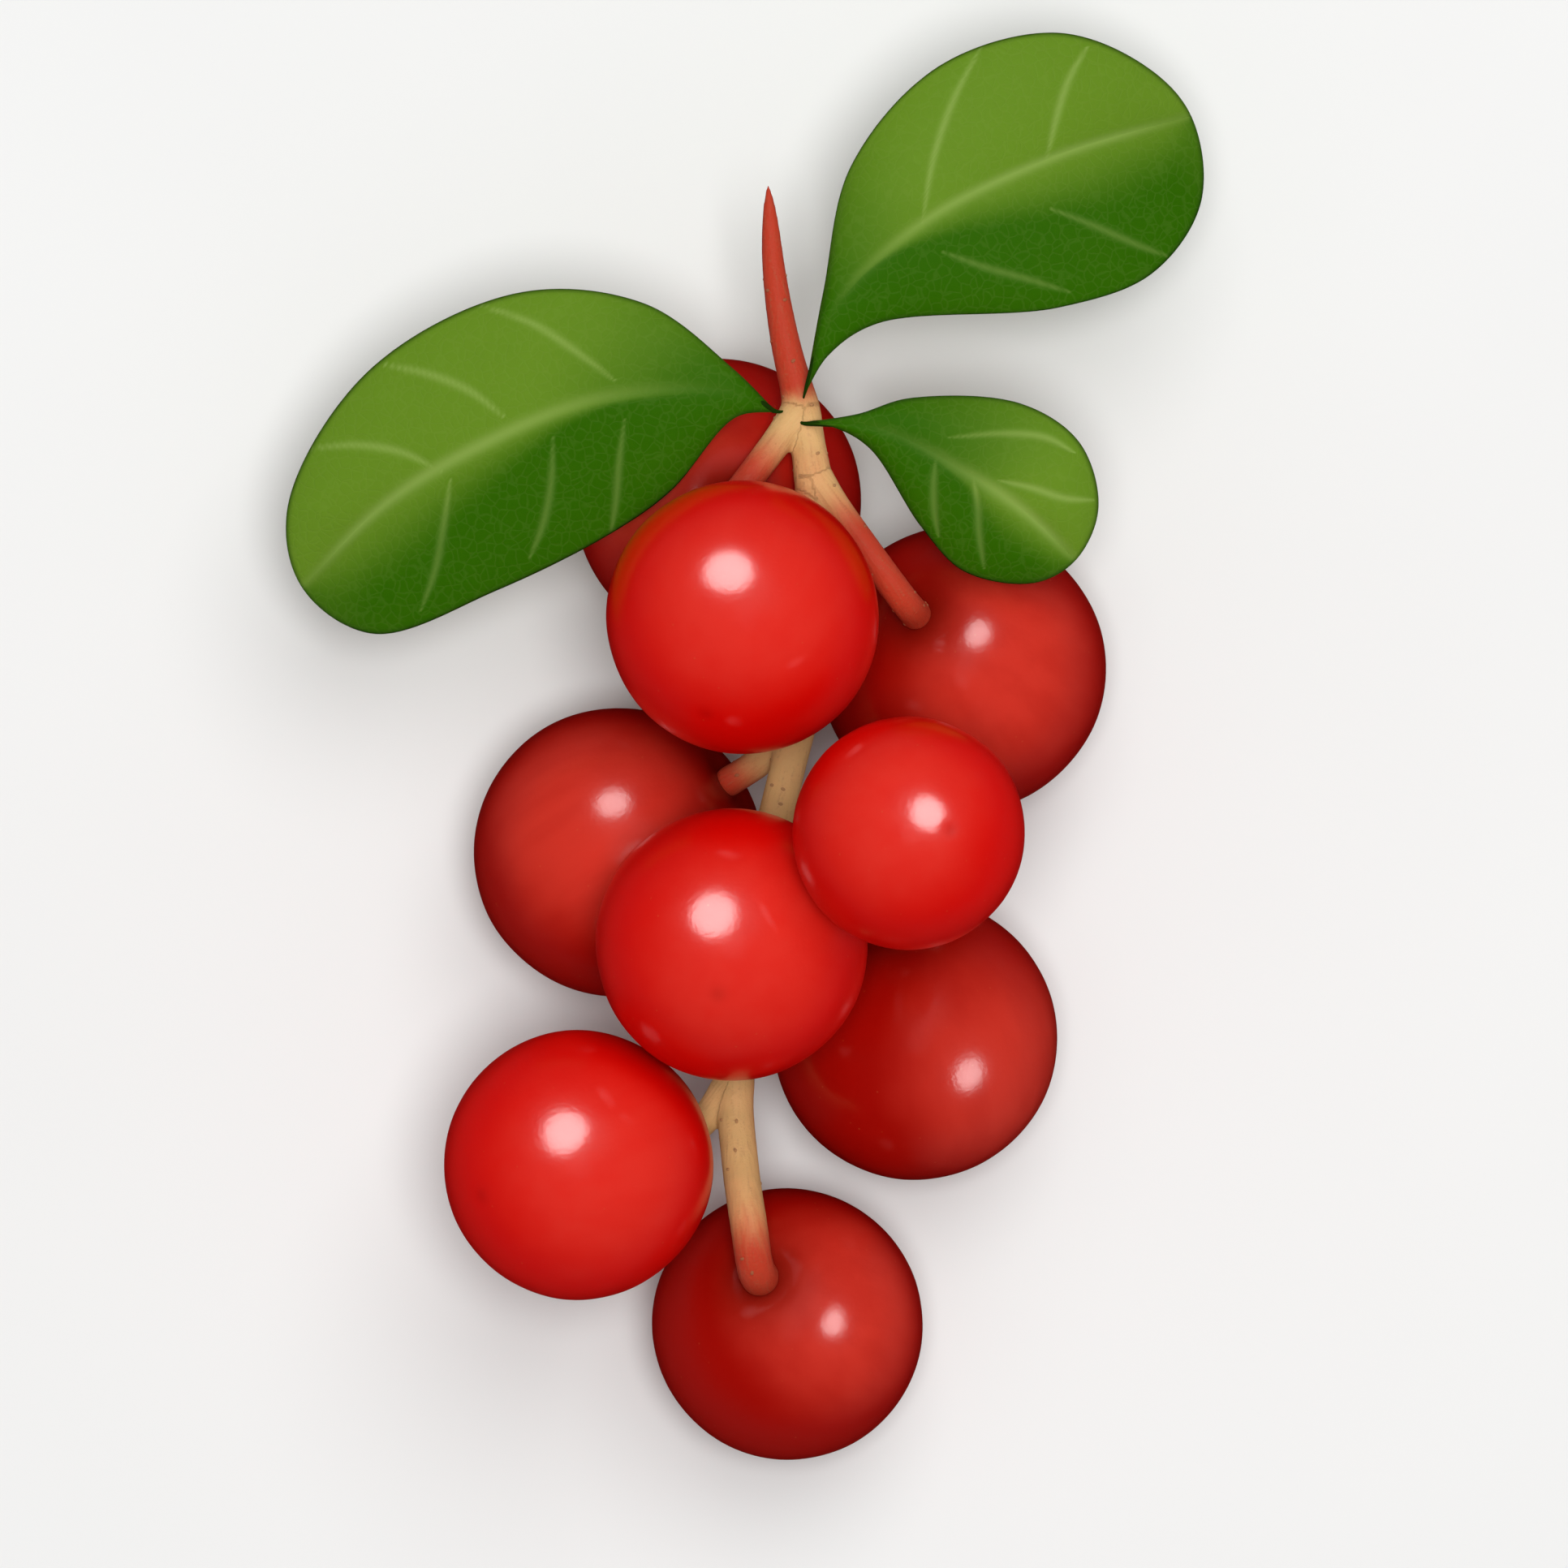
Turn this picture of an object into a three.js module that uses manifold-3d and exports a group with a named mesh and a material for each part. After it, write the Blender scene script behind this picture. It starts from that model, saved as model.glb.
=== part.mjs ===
// A cut spray of round fruits lying on a flat surface: one branched stalk with a pointed cut tip,
// nine fruits and three blunt leaves. Millimetres, +Z up, +Y towards the cut tip.
//
// Places along the spray are multiples of FRUIT, the diameter of a typical fruit, so the whole
// spray opens and closes with its fruits. Thicknesses, depths, gaps and leaf sizes stand alone.

import * as THREE from 'three';
import { mergeVertices } from 'three/addons/utils/BufferGeometryUtils.js';
import Module from 'manifold-3d';

// ---------------------------------------------------------------- driving sizes
const FRUIT = 12;                 // diameter of a typical fruit
const FRUIT_GAP = 0.1;            // between two fruits that lean on each other
const DIMPLE_DEPTH = 0.55;        // hollow where the stalk enters
const DIMPLE_ANGLE = 0.22;        // half-angle of that hollow, seen from the fruit's centre
const STALK_THICKNESS = 1.38;     // main stalk at its first fork
const STALK_SWELL = 0.12;         // growth of that thickness from the cut tip to the far end
const SIDE_STALK_THICKNESS = 1.2;
const TIP_LENGTH = 10;            // stretch over which the cut tip narrows to a point
const TIP_SHAPE = 0.6;            // below 1, the tip is full until near its point
const SEAT_GAP = 0.25;            // between a stalk's end and the floor of the dimple
const LEAF_THICKNESS = 0.45;
const LEAF_GAP = 0.3;             // between a leaf and what it passes over
const LEAF_FOLD = 0.2;            // fall from the midrib to the margin, per unit of width

// ---------------------------------------------------------------- mesh fineness
const FRUIT_SIDES = 24;
const FRUIT_RINGS = 16;
const RING_CROWDING = 1.35;       // above 1, rings crowd round the dimple
const STALK_SIDES = 10;
const STALK_STEP = 1.2;           // along a stalk, in thicknesses
const LEAF_ROWS = 18;
const LEAF_COLUMNS = 4;           // on each side of the midrib

// ---------------------------------------------------------------- finishes
const FINISHES = {
  fruit_bright: { color: 0xc80a06, roughness: 0.25, metalness: 0 },
  fruit_deep: { color: 0x8c0805, roughness: 0.3, metalness: 0 },
  stalk: { color: 0xcf9866, roughness: 0.6, metalness: 0 },
  leaf: { color: 0x4a7a17, roughness: 0.5, metalness: 0 },
};

// ---------------------------------------------------------------- fruits
// at: centre in plan. size: share of FRUIT. stem: where the stalk enters, from the centre.
// on: the fruits it rests on; a fruit that rests on none lies on the surface, and lift raises
// one that only its stalk holds up.
const FRUITS = {
  fruit_top_back: {
    at: [-0.10, 0.87], size: 1.03, stem: [0.09, 0, 1], finish: 'fruit_deep',
  },
  fruit_right_back: {
    at: [0.78, 0.27], size: 1.03, stem: [-0.35, 0.40, 0.85], finish: 'fruit_deep',
  },
  fruit_left_back: {
    at: [-0.46, -0.39], size: 1.04, stem: [0.80, 0.51, 0.31], finish: 'fruit_deep',
  },
  fruit_lower_right_back: {
    at: [0.61, -1.06], size: 1.02, stem: [-0.18, 0.85, 0.50], finish: 'fruit_deep',
  },
  fruit_bottom: {
    at: [0.15, -2.09], size: 0.975, stem: [-0.21, 0.38, 0.90], finish: 'fruit_deep',
  },
  fruit_top_front: {
    at: [-0.01, 0.45], size: 0.975, stem: [0.27, 0.72, -0.64],
    on: ['fruit_top_back', 'fruit_right_back'], finish: 'fruit_bright',
  },
  fruit_middle_front: {
    at: [-0.05, -0.72], size: 0.975, stem: [0.10, 0.36, -0.93],
    on: ['fruit_left_back', 'fruit_lower_right_back'], finish: 'fruit_bright',
  },
  fruit_right_front: {
    at: [0.58, -0.32], size: 0.83, stem: [-0.36, -0.03, -0.93],
    on: ['fruit_middle_front', 'fruit_right_back', 'fruit_lower_right_back'],
    finish: 'fruit_bright',
  },
  fruit_lower_left_front: {
    at: [-0.60, -1.51], size: 0.965, stem: [0.72, 0.22, -0.66], lift: 0.64,
    finish: 'fruit_bright',
  },
};

// ---------------------------------------------------------------- stalk
// The main stalk's centre line, from the cut tip to the last fruit. Forks are named.
const MAIN_ROUTE = [
  { at: [0.08, 2.01, 0.93] },
  { at: [0.10, 1.71, 0.94] },
  { at: [0.14, 1.45, 0.96] },
  { at: [0.20, 1.20, 0.98], name: 'first_fork' },
  { at: [0.24, 0.96, 1.01], name: 'second_fork' },
  { at: [0.25, 0.84, 1.00], name: 'front_fork' },
  { at: [0.25, 0.68, 0.97] },
  { at: [0.24, 0.47, 0.88] },
  { at: [0.18, 0.05, 0.83], name: 'left_fork' },
  { at: [0.08, -0.38, 0.82], name: 'right_fork' },
  { at: [0.06, -0.48, 0.81], name: 'middle_fork' },
  { at: [0.01, -0.76, 0.76] },
  { at: [-0.04, -1.21, 0.74], name: 'lower_fork' },
  { at: [-0.02, -1.51, 0.84] },
  { at: [0.01, -1.72, 0.99] },
];
const MAIN_END = { to: 'fruit_bottom', approach: 0.5 };

// from: the fork it leaves. via: points between. approach: how far outside the fruit it lines
// up with the dimple, in stalk thicknesses.
const SIDE_STALKS = [
  { to: 'fruit_top_back', from: 'first_fork', via: [], approach: 0.5 },
  { to: 'fruit_top_front', from: 'front_fork', via: [], approach: 0.4 },
  { to: 'fruit_right_back', from: 'second_fork', via: [], approach: 1.1 },
  { to: 'fruit_left_back', from: 'left_fork', via: [], approach: 1.1 },
  {
    to: 'fruit_right_front', from: 'right_fork',
    via: [[0.24, -0.35, 0.96], [0.37, -0.34, 1.20]], approach: 1,
  },
  { to: 'fruit_middle_front', from: 'middle_fork', via: [], approach: 0.3 },
  { to: 'fruit_lower_right_back', from: 'right_fork', via: [[0.27, -0.46, 0.84]], approach: 1 },
  { to: 'fruit_lower_left_front', from: 'lower_fork', via: [], approach: 1 },
];

// ---------------------------------------------------------------- leaves
// foot: the leaf's pointed base, from its fork, in plan. heading: degrees from +X. rib, left and
// right: the midrib and the two margins seen from above, as shares of length and width.
// crest: where along the leaf it is highest. droop: fall from the crest to the apex.
// over: the fruit it passes over, or arch: how far the crest stands above the foot.
const LEAVES = {
  leaf_left: {
    fork: 'first_fork', foot: [-0.09, -0.01], heading: -159.7, length: 21.8, width: 11.7,
    rib: [[0.07, -0.13], [0.31, -0.27], [0.57, -0.26], [0.79, -0.18]],
    right: [[0.05, -0.20], [0.17, -0.54], [0.40, -0.74], [0.73, -0.66], [0.97, -0.30]],
    left: [[0.08, -0.03], [0.25, 0.14], [0.39, 0.21], [0.64, 0.26], [0.90, 0.25]],
    crest: 0.35, droop: 5, over: 'fruit_top_back',
  },
  leaf_upper_right: {
    fork: 'first_fork', foot: [0.01, 0.05], heading: 35.9, length: 20.6, width: 12.6,
    rib: [[0.17, 0.19], [0.41, 0.24], [0.71, 0.16]],
    left: [[0.16, 0.25], [0.36, 0.54], [0.63, 0.64], [0.87, 0.50], [0.98, 0.24]],
    right: [[0.09, 0.06], [0.21, 0.05], [0.54, -0.27], [0.74, -0.36], [0.91, -0.26]],
    crest: 0.3, droop: 5.5, arch: 1,
  },
  leaf_right: {
    fork: 'first_fork', foot: [0.00, -0.05], heading: -26.6, length: 13.2, width: 7.4,
    rib: [[0.23, 0.17], [0.56, 0.17], [0.75, 0.13]],
    left: [[0.15, 0.19], [0.28, 0.41], [0.61, 0.67], [0.84, 0.62], [0.99, 0.33]],
    right: [[0.11, 0.06], [0.24, 0.04], [0.50, -0.23], [0.69, -0.35], [0.91, -0.23]],
    crest: 0.6, droop: 1.5, over: 'fruit_right_back',
  },
};

const wasm = await Module();
wasm.setup();

// ---------------------------------------------------------------- fruits, worked out
const inFruits = ([x, y, z]) => new THREE.Vector3(x, y, z).multiplyScalar(FRUIT);

// Centre height of a fruit that leans on others: the lowest place that clears them all.
function restingHeight(plan, radius, lower) {
  const heights = lower.map((other) => {
    const reach = radius + other.radius + FRUIT_GAP;
    const apart = Math.hypot(plan.x - other.centre.x, plan.y - other.centre.y);
    const rise = Math.sqrt(Math.max(0, reach ** 2 - apart ** 2));
    return other.centre.z + rise;
  });
  return Math.max(...heights);
}

function placeFruits() {
  const placed = {};
  for (const [name, spec] of Object.entries(FRUITS)) {
    const radius = (FRUIT * spec.size) / 2;
    const centre = inFruits([...spec.at, spec.lift ?? 0]);
    if (spec.on) {
      centre.z = restingHeight(centre, radius, spec.on.map((other) => placed[other]));
    } else {
      centre.z += radius;
    }
    placed[name] = { radius, centre, stem: new THREE.Vector3(...spec.stem).normalize() };
  }
  return placed;
}

const fruits = placeFruits();

// A ball with a soft hollow at its +Y pole, turned so that the pole faces its stalk.
function fruitMesh(name) {
  const { radius, centre, stem } = fruits[name];
  const profile = [];
  for (let ring = 0; ring <= FRUIT_RINGS; ring += 1) {
    const angle = Math.PI * (ring / FRUIT_RINGS) ** RING_CROWDING;
    const reach = radius - DIMPLE_DEPTH * Math.exp(-((angle / DIMPLE_ANGLE) ** 2));
    const onAxis = ring === 0 || ring === FRUIT_RINGS;
    profile.push(new THREE.Vector2(onAxis ? 0 : reach * Math.sin(angle), reach * Math.cos(angle)));
  }
  const mesh = namedMesh(name, new THREE.LatheGeometry(profile.reverse(), FRUIT_SIDES),
    FRUITS[name].finish);
  mesh.position.copy(centre);
  mesh.quaternion.setFromUnitVectors(new THREE.Vector3(0, 1, 0), stem);
  return mesh;
}

// ---------------------------------------------------------------- stalk, worked out
const forks = Object.fromEntries(
  MAIN_ROUTE.filter((point) => point.name).map((point) => [point.name, inFruits(point.at)]),
);

// The last two points of a stalk: in line with the dimple outside the fruit, then its floor.
function seatPoints(fruitName, thickness, approach) {
  const { radius, centre, stem } = fruits[fruitName];
  const outside = radius + approach * thickness;
  const floor = radius - DIMPLE_DEPTH + SEAT_GAP;
  return [outside, floor].map((reach) => centre.clone().addScaledVector(stem, reach));
}

// A closed tube along a smooth line, with its radius given by a rule of the distance along it.
function sweep(points, thickness, radiusAt) {
  const curve = new THREE.CatmullRomCurve3(points, false, 'centripetal');
  const length = curve.getLength();
  const steps = Math.ceil(length / (STALK_STEP * thickness));
  const frames = curve.computeFrenetFrames(steps, false);
  const positions = [];
  for (let step = 0; step <= steps; step += 1) {
    const along = step / steps;
    const middle = curve.getPointAt(along);
    const radius = radiusAt(along * length, length);
    for (let side = 0; side < STALK_SIDES; side += 1) {
      const turn = (2 * Math.PI * side) / STALK_SIDES;
      const point = middle.clone()
        .addScaledVector(frames.normals[step], radius * Math.cos(turn))
        .addScaledVector(frames.binormals[step], radius * Math.sin(turn));
      positions.push(...point.toArray());
    }
  }
  const startCentre = positions.length / 3;
  positions.push(...curve.getPointAt(0).toArray(), ...curve.getPointAt(1).toArray());
  const faces = [];
  const lastRing = steps * STALK_SIDES;
  for (let side = 0; side < STALK_SIDES; side += 1) {
    const next = (side + 1) % STALK_SIDES;
    faces.push(startCentre, next, side);
    faces.push(startCentre + 1, lastRing + side, lastRing + next);
    for (let ring = 0; ring < lastRing; ring += STALK_SIDES) {
      const [a, b] = [ring + side, ring + next];
      const [c, d] = [a + STALK_SIDES, b + STALK_SIDES];
      faces.push(a, b, c, b, d, c);
    }
  }
  return indexedGeometry(positions, faces);
}

function mainStalk() {
  const points = MAIN_ROUTE.map((point) => inFruits(point.at));
  points.push(...seatPoints(MAIN_END.to, STALK_THICKNESS, MAIN_END.approach));
  const pointRadius = 0.05;
  return sweep(points, STALK_THICKNESS, (distance, length) => {
    const taper = Math.min(1, (distance / TIP_LENGTH) ** TIP_SHAPE);
    const swell = 1 + (STALK_SWELL * distance) / length;
    return Math.max(pointRadius, (STALK_THICKNESS / 2) * taper * swell);
  });
}

function sideStalk({ to, from, via, approach }) {
  const points = [forks[from], ...via.map(inFruits)];
  points.push(...seatPoints(to, SIDE_STALK_THICKNESS, approach));
  return sweep(points, SIDE_STALK_THICKNESS, () => SIDE_STALK_THICKNESS / 2);
}

function toManifold(geometry) {
  const bare = geometry.clone();
  bare.deleteAttribute('normal');
  bare.deleteAttribute('uv');
  const merged = mergeVertices(bare);
  return new wasm.Manifold(new wasm.Mesh({
    numProp: 3,
    vertProperties: new Float32Array(merged.attributes.position.array),
    triVerts: new Uint32Array(merged.index.array),
  }));
}

function fromManifold(solid) {
  const { vertProperties, triVerts } = solid.getMesh();
  return indexedGeometry(Array.from(vertProperties), Array.from(triVerts));
}

// All the stalks, grown together as one solid.
function stalkMesh() {
  const whole = SIDE_STALKS.reduce(
    (solid, side) => solid.add(toManifold(sideStalk(side))),
    toManifold(mainStalk()),
  );
  return namedMesh('stalk', fromManifold(whole), 'stalk');
}

// ---------------------------------------------------------------- leaves, worked out
// Height of the midrib above its foot, from 0 at the foot to 1 at the apex.
function ribHeight(share, { crest, droop }, arch) {
  if (share < crest) {
    return arch * Math.sin((Math.PI / 2) * (share / crest));
  }
  return arch - droop * ((share - crest) / (1 - crest)) ** 2;
}

function leafArch(spec, footHeight) {
  if (!spec.over) {
    return spec.arch;
  }
  const { radius, centre } = fruits[spec.over];
  const fall = (LEAF_FOLD * spec.width) / 2;
  return centre.z + radius + LEAF_GAP + LEAF_THICKNESS + fall - footHeight;
}

// One face of the leaf as rows of points from foot to apex, each row from right to left margin.
function leafRows(spec) {
  const inPlan = ([along, across]) => new THREE.Vector3(along * spec.length, across * spec.width, 0);
  const smooth = (points) => new THREE.CatmullRomCurve3(points.map(inPlan), false, 'centripetal');
  const rib = smooth([[0, 0], ...spec.rib, [1, 0]]);
  const margin = smooth([[0, 0], ...spec.left, [1, 0], ...[...spec.right].reverse(), [0, 0]]);
  const apexAt = (spec.left.length + 1) / (spec.left.length + spec.right.length + 2);
  const foot = forks[spec.fork].clone().add(inFruits([...spec.foot, 0]));
  const thickest = Math.max(STALK_THICKNESS * (1 + STALK_SWELL), SIDE_STALK_THICKNESS);
  foot.z += thickest / 2 + LEAF_GAP + LEAF_THICKNESS;
  const arch = leafArch(spec, foot.z);
  const rows = [];
  for (let row = 0; row <= LEAF_ROWS; row += 1) {
    const share = row / LEAF_ROWS;
    const middle = rib.getPoint(share);
    const edges = {
      left: margin.getPoint(share * apexAt),
      right: margin.getPoint(1 - share * (1 - apexAt)),
    };
    const points = [];
    const atEnd = row === 0 || row === LEAF_ROWS;
    const columns = atEnd ? 0 : LEAF_COLUMNS;
    for (let column = -columns; column <= columns; column += 1) {
      const edge = column < 0 ? edges.right : edges.left;
      const point = middle.clone().lerp(edge, columns ? Math.abs(column) / columns : 0);
      const fall = LEAF_FOLD * point.distanceTo(middle);
      point.applyAxisAngle(new THREE.Vector3(0, 0, 1), THREE.MathUtils.degToRad(spec.heading));
      point.add(foot);
      point.z += ribHeight(share, spec, arch) - fall;
      points.push(point);
    }
    rows.push(points);
  }
  return rows;
}

// Triangles between two neighbouring rows, either of which may be a single point.
function stripFaces(lower, upper) {
  const faces = [];
  const longest = Math.max(lower.length, upper.length);
  const pick = (row, index) => row[Math.min(index, row.length - 1)];
  for (let index = 0; index < longest - 1; index += 1) {
    const quad = [pick(lower, index), pick(upper, index), pick(upper, index + 1), pick(lower, index + 1)];
    for (const corners of [[quad[0], quad[1], quad[2]], [quad[0], quad[2], quad[3]]]) {
      if (new Set(corners).size === 3) {
        faces.push(corners);
      }
    }
  }
  return faces;
}

// Two copies of the rows, one a leaf's thickness below the other, closed round the margin.
function leafMesh(name) {
  const rows = leafRows(LEAVES[name]);
  const positions = [];
  const number = (points, drop) => points.map((point) => {
    positions.push(point.x, point.y, point.z - drop);
    return positions.length / 3 - 1;
  });
  const top = rows.map((row) => number(row, 0));
  const bottom = rows.map((row) => number(row, LEAF_THICKNESS));
  const faces = [];
  for (let row = 0; row < LEAF_ROWS; row += 1) {
    const upper = stripFaces(top[row], top[row + 1]);
    const under = stripFaces(bottom[row], bottom[row + 1]);
    faces.push(...upper, ...under.map(([a, b, c]) => [a, c, b]));
    for (const end of [0, -1]) {
      const [a, b] = [top[row].at(end), top[row + 1].at(end)];
      const [c, d] = [bottom[row].at(end), bottom[row + 1].at(end)];
      const wall = [[a, d, b], [a, c, d]];
      faces.push(...(end === 0 ? wall : wall.map(([p, q, r]) => [p, r, q])));
    }
  }
  return namedMesh(name, indexedGeometry(positions, faces.flat()), 'leaf');
}

// ---------------------------------------------------------------- shared helpers
function indexedGeometry(positions, faces) {
  const geometry = new THREE.BufferGeometry();
  geometry.setAttribute('position', new THREE.Float32BufferAttribute(positions, 3));
  geometry.setIndex(faces);
  geometry.computeVertexNormals();
  return geometry;
}

function namedMesh(name, geometry, finish) {
  const mesh = new THREE.Mesh(geometry, new THREE.MeshStandardMaterial(FINISHES[finish]));
  mesh.name = name;
  return mesh;
}

// ---------------------------------------------------------------- the spray
const spray = new THREE.Group();
spray.add(stalkMesh());
spray.add(...Object.keys(FRUITS).map(fruitMesh));
spray.add(...Object.keys(LEAVES).map(leafMesh));

// The origin is the middle of the spray's box, on the surface it lies on.
const box = new THREE.Box3().setFromObject(spray, true);
const middle = box.getCenter(new THREE.Vector3());
spray.position.set(-middle.x, -middle.y, -box.min.z);

export default spray;
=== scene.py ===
"""A cut spray of round fruits on one branched stalk, lying on a pale floor.

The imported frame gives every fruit's centre, size and stalk direction. Around it this script
grows the ripe fruits, the stalk with its forks and the three leaves. Places in the plan are
millimetres or fruit diameters, and meshes are written in metres.
"""

import logging
import math
from dataclasses import dataclass
from enum import Enum
from typing import Union

import bmesh
import bpy
import numpy as np
from mathutils import Matrix, Vector
from mathutils.kdtree import KDTree


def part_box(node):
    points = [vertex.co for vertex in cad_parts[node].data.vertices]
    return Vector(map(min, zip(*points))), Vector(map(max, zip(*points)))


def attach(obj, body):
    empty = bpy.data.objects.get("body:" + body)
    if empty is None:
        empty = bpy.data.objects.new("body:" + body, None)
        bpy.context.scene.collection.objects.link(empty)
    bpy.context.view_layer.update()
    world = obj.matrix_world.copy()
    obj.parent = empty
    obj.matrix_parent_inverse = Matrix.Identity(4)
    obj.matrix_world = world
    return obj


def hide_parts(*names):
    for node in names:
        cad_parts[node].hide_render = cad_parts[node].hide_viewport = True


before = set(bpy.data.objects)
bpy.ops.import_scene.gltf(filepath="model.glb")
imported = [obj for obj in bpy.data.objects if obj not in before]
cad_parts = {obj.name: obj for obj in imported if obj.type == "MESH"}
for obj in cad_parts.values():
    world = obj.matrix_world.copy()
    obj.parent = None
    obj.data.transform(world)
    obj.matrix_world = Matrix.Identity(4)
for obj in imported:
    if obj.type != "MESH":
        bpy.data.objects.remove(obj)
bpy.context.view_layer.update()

MM = 0.001
TINY = 1e-9
BODY = "root"

# How finely a spline is walked to measure it, and the fewest spans it is cut into.
FINE_STEPS_PER_POINT = 60
FEWEST_SPANS = 4

# Points closer than the first are merged, and edges shorter than the second removed. Metres.
SAME_POINT = 1e-7
NO_EDGE = 1e-8

log = logging.getLogger("fruit_spray")

Colour = tuple[float, float, float]
Triple = tuple[float, float, float]
Plan = tuple[float, float]
Feed = Union[float, int, str, tuple, bpy.types.NodeSocket, bpy.types.Material]


# ---------------------------------------------------------------- shared helpers
class Tree:
    """Adds nodes to a shader or geometry tree and feeds their inputs."""

    def __init__(self, tree: bpy.types.NodeTree) -> None:
        """Wraps a node tree.

        Args:
            tree: the tree to build in.
        """
        self.tree = tree

    def add(self, kind: str, feeds: dict[Union[int, str], Feed] | None = None,
            **settings: object) -> bpy.types.Node:
        """Adds one node.

        Args:
            kind: the node's type name.
            feeds: what goes into its inputs, by name or number: a socket to link or a value.
            settings: properties of the node itself.

        Returns:
            The new node.
        """
        node = self.tree.nodes.new(kind)
        for name, value in settings.items():
            setattr(node, name, value)
        for key, value in (feeds or {}).items():
            self.feed(node.inputs[key], value)
        return node

    def feed(self, socket: bpy.types.NodeSocket, value: Feed) -> None:
        """Links a socket into an input, or sets the input's own value.

        Args:
            socket: the input.
            value: a socket to link, or a constant. A colour may leave out its alpha.
        """
        if isinstance(value, bpy.types.NodeSocket):
            self.tree.links.new(value, socket)
        elif socket.type == "RGBA" and len(value) == 3:
            socket.default_value = (*value, 1.0)
        else:
            socket.default_value = value

    def math(self, operation: str, *values: Feed) -> bpy.types.NodeSocket:
        """Works out one number from up to three."""
        return self.add("ShaderNodeMath", dict(enumerate(values)), operation=operation).outputs[0]

    def vector(self, operation: str, *values: Feed) -> bpy.types.NodeSocket:
        """Works out one vector.

        Args:
            operation: the sum to do.
            values: two vectors, or a vector and a number for SCALE.

        Returns:
            The socket with the result.
        """
        feeds = dict(enumerate(values))
        if operation == "SCALE":
            feeds = {0: values[0], "Scale": values[1]}
        return self.add("ShaderNodeVectorMath", feeds, operation=operation).outputs[0]

    def bell(self, value: Feed, width: Feed) -> bpy.types.NodeSocket:
        """Makes a smooth hump.

        Args:
            value: a number that is 0 at the hump's top.
            width: how far from 0 the hump fades.

        Returns:
            1 where value is 0, fading to 0 on both sides.
        """
        share = self.math("DIVIDE", value, width)
        square = self.math("MULTIPLY", share, share)
        return self.math("EXPONENT", self.math("MULTIPLY", square, -1.0))

    def ease(self, value: Feed, start: float, end: float) -> bpy.types.NodeSocket:
        """Runs smoothly from 0 at start to 1 at end."""
        feeds = {"Value": value, "From Min": start, "From Max": end}
        return self.add("ShaderNodeMapRange", feeds, interpolation_type="SMOOTHSTEP").outputs[0]

    def mix(self, share: Feed, first: Feed, second: Feed) -> bpy.types.NodeSocket:
        """Blends two colours.

        Args:
            share: 0 for the first colour, 1 for the second.
            first: a colour.
            second: a colour.

        Returns:
            The blended colour.
        """
        node = self.add("ShaderNodeMix", data_type="RGBA")
        for name, value in (("Factor_Float", share), ("A_Color", first), ("B_Color", second)):
            socket = next(item for item in node.inputs if item.identifier == name)
            self.feed(socket, value)
        return next(item for item in node.outputs if item.identifier == "Result_Color")

    def noise(self, place: Feed, scale: float, detail: float = 3.0) -> bpy.types.NodeSocket:
        """Soft random variation about 0.5 at each place."""
        feeds = {"Vector": place, "Scale": scale, "Detail": detail}
        return self.add("ShaderNodeTexNoise", feeds).outputs[0]


class ShaderTree(Tree):
    """A material's tree, with its shader and its surface patterns."""

    def __init__(self, name: str, sockets: dict[str, Feed]) -> None:
        """Starts a material with one main shader.

        Args:
            name: the material's name.
            sockets: constant values of the shader's inputs.
        """
        self.material = bpy.data.materials.new(name)
        self.material.use_nodes = True
        super().__init__(self.material.node_tree)
        self.shader = self.tree.nodes["Principled BSDF"]
        for key, value in sockets.items():
            self.feed(self.shader.inputs[key], value)

    def attribute(self, name: str, output: str = "Fac") -> bpy.types.NodeSocket:
        """Reads a value stored on the mesh."""
        return self.add("ShaderNodeAttribute", attribute_name=name).outputs[output]

    def place(self) -> bpy.types.NodeSocket:
        """Object coordinates in millimetres."""
        here = self.add("ShaderNodeTexCoord").outputs["Object"]
        return self.vector("SCALE", here, 1.0 / MM)

    def relief(self, height: Feed, depth: float) -> None:
        """Gives the shader a bumped surface.

        Args:
            height: pattern from 0 to 1.
            depth: the pattern's full height in metres.
        """
        bump = self.add("ShaderNodeBump", {"Height": height, "Distance": depth, "Strength": 1.0})
        self.feed(self.shader.inputs["Normal"], bump.outputs[0])
        if self.shader.inputs["Coat Weight"].default_value > 0:
            self.feed(self.shader.inputs["Coat Normal"], bump.outputs[0])


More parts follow.
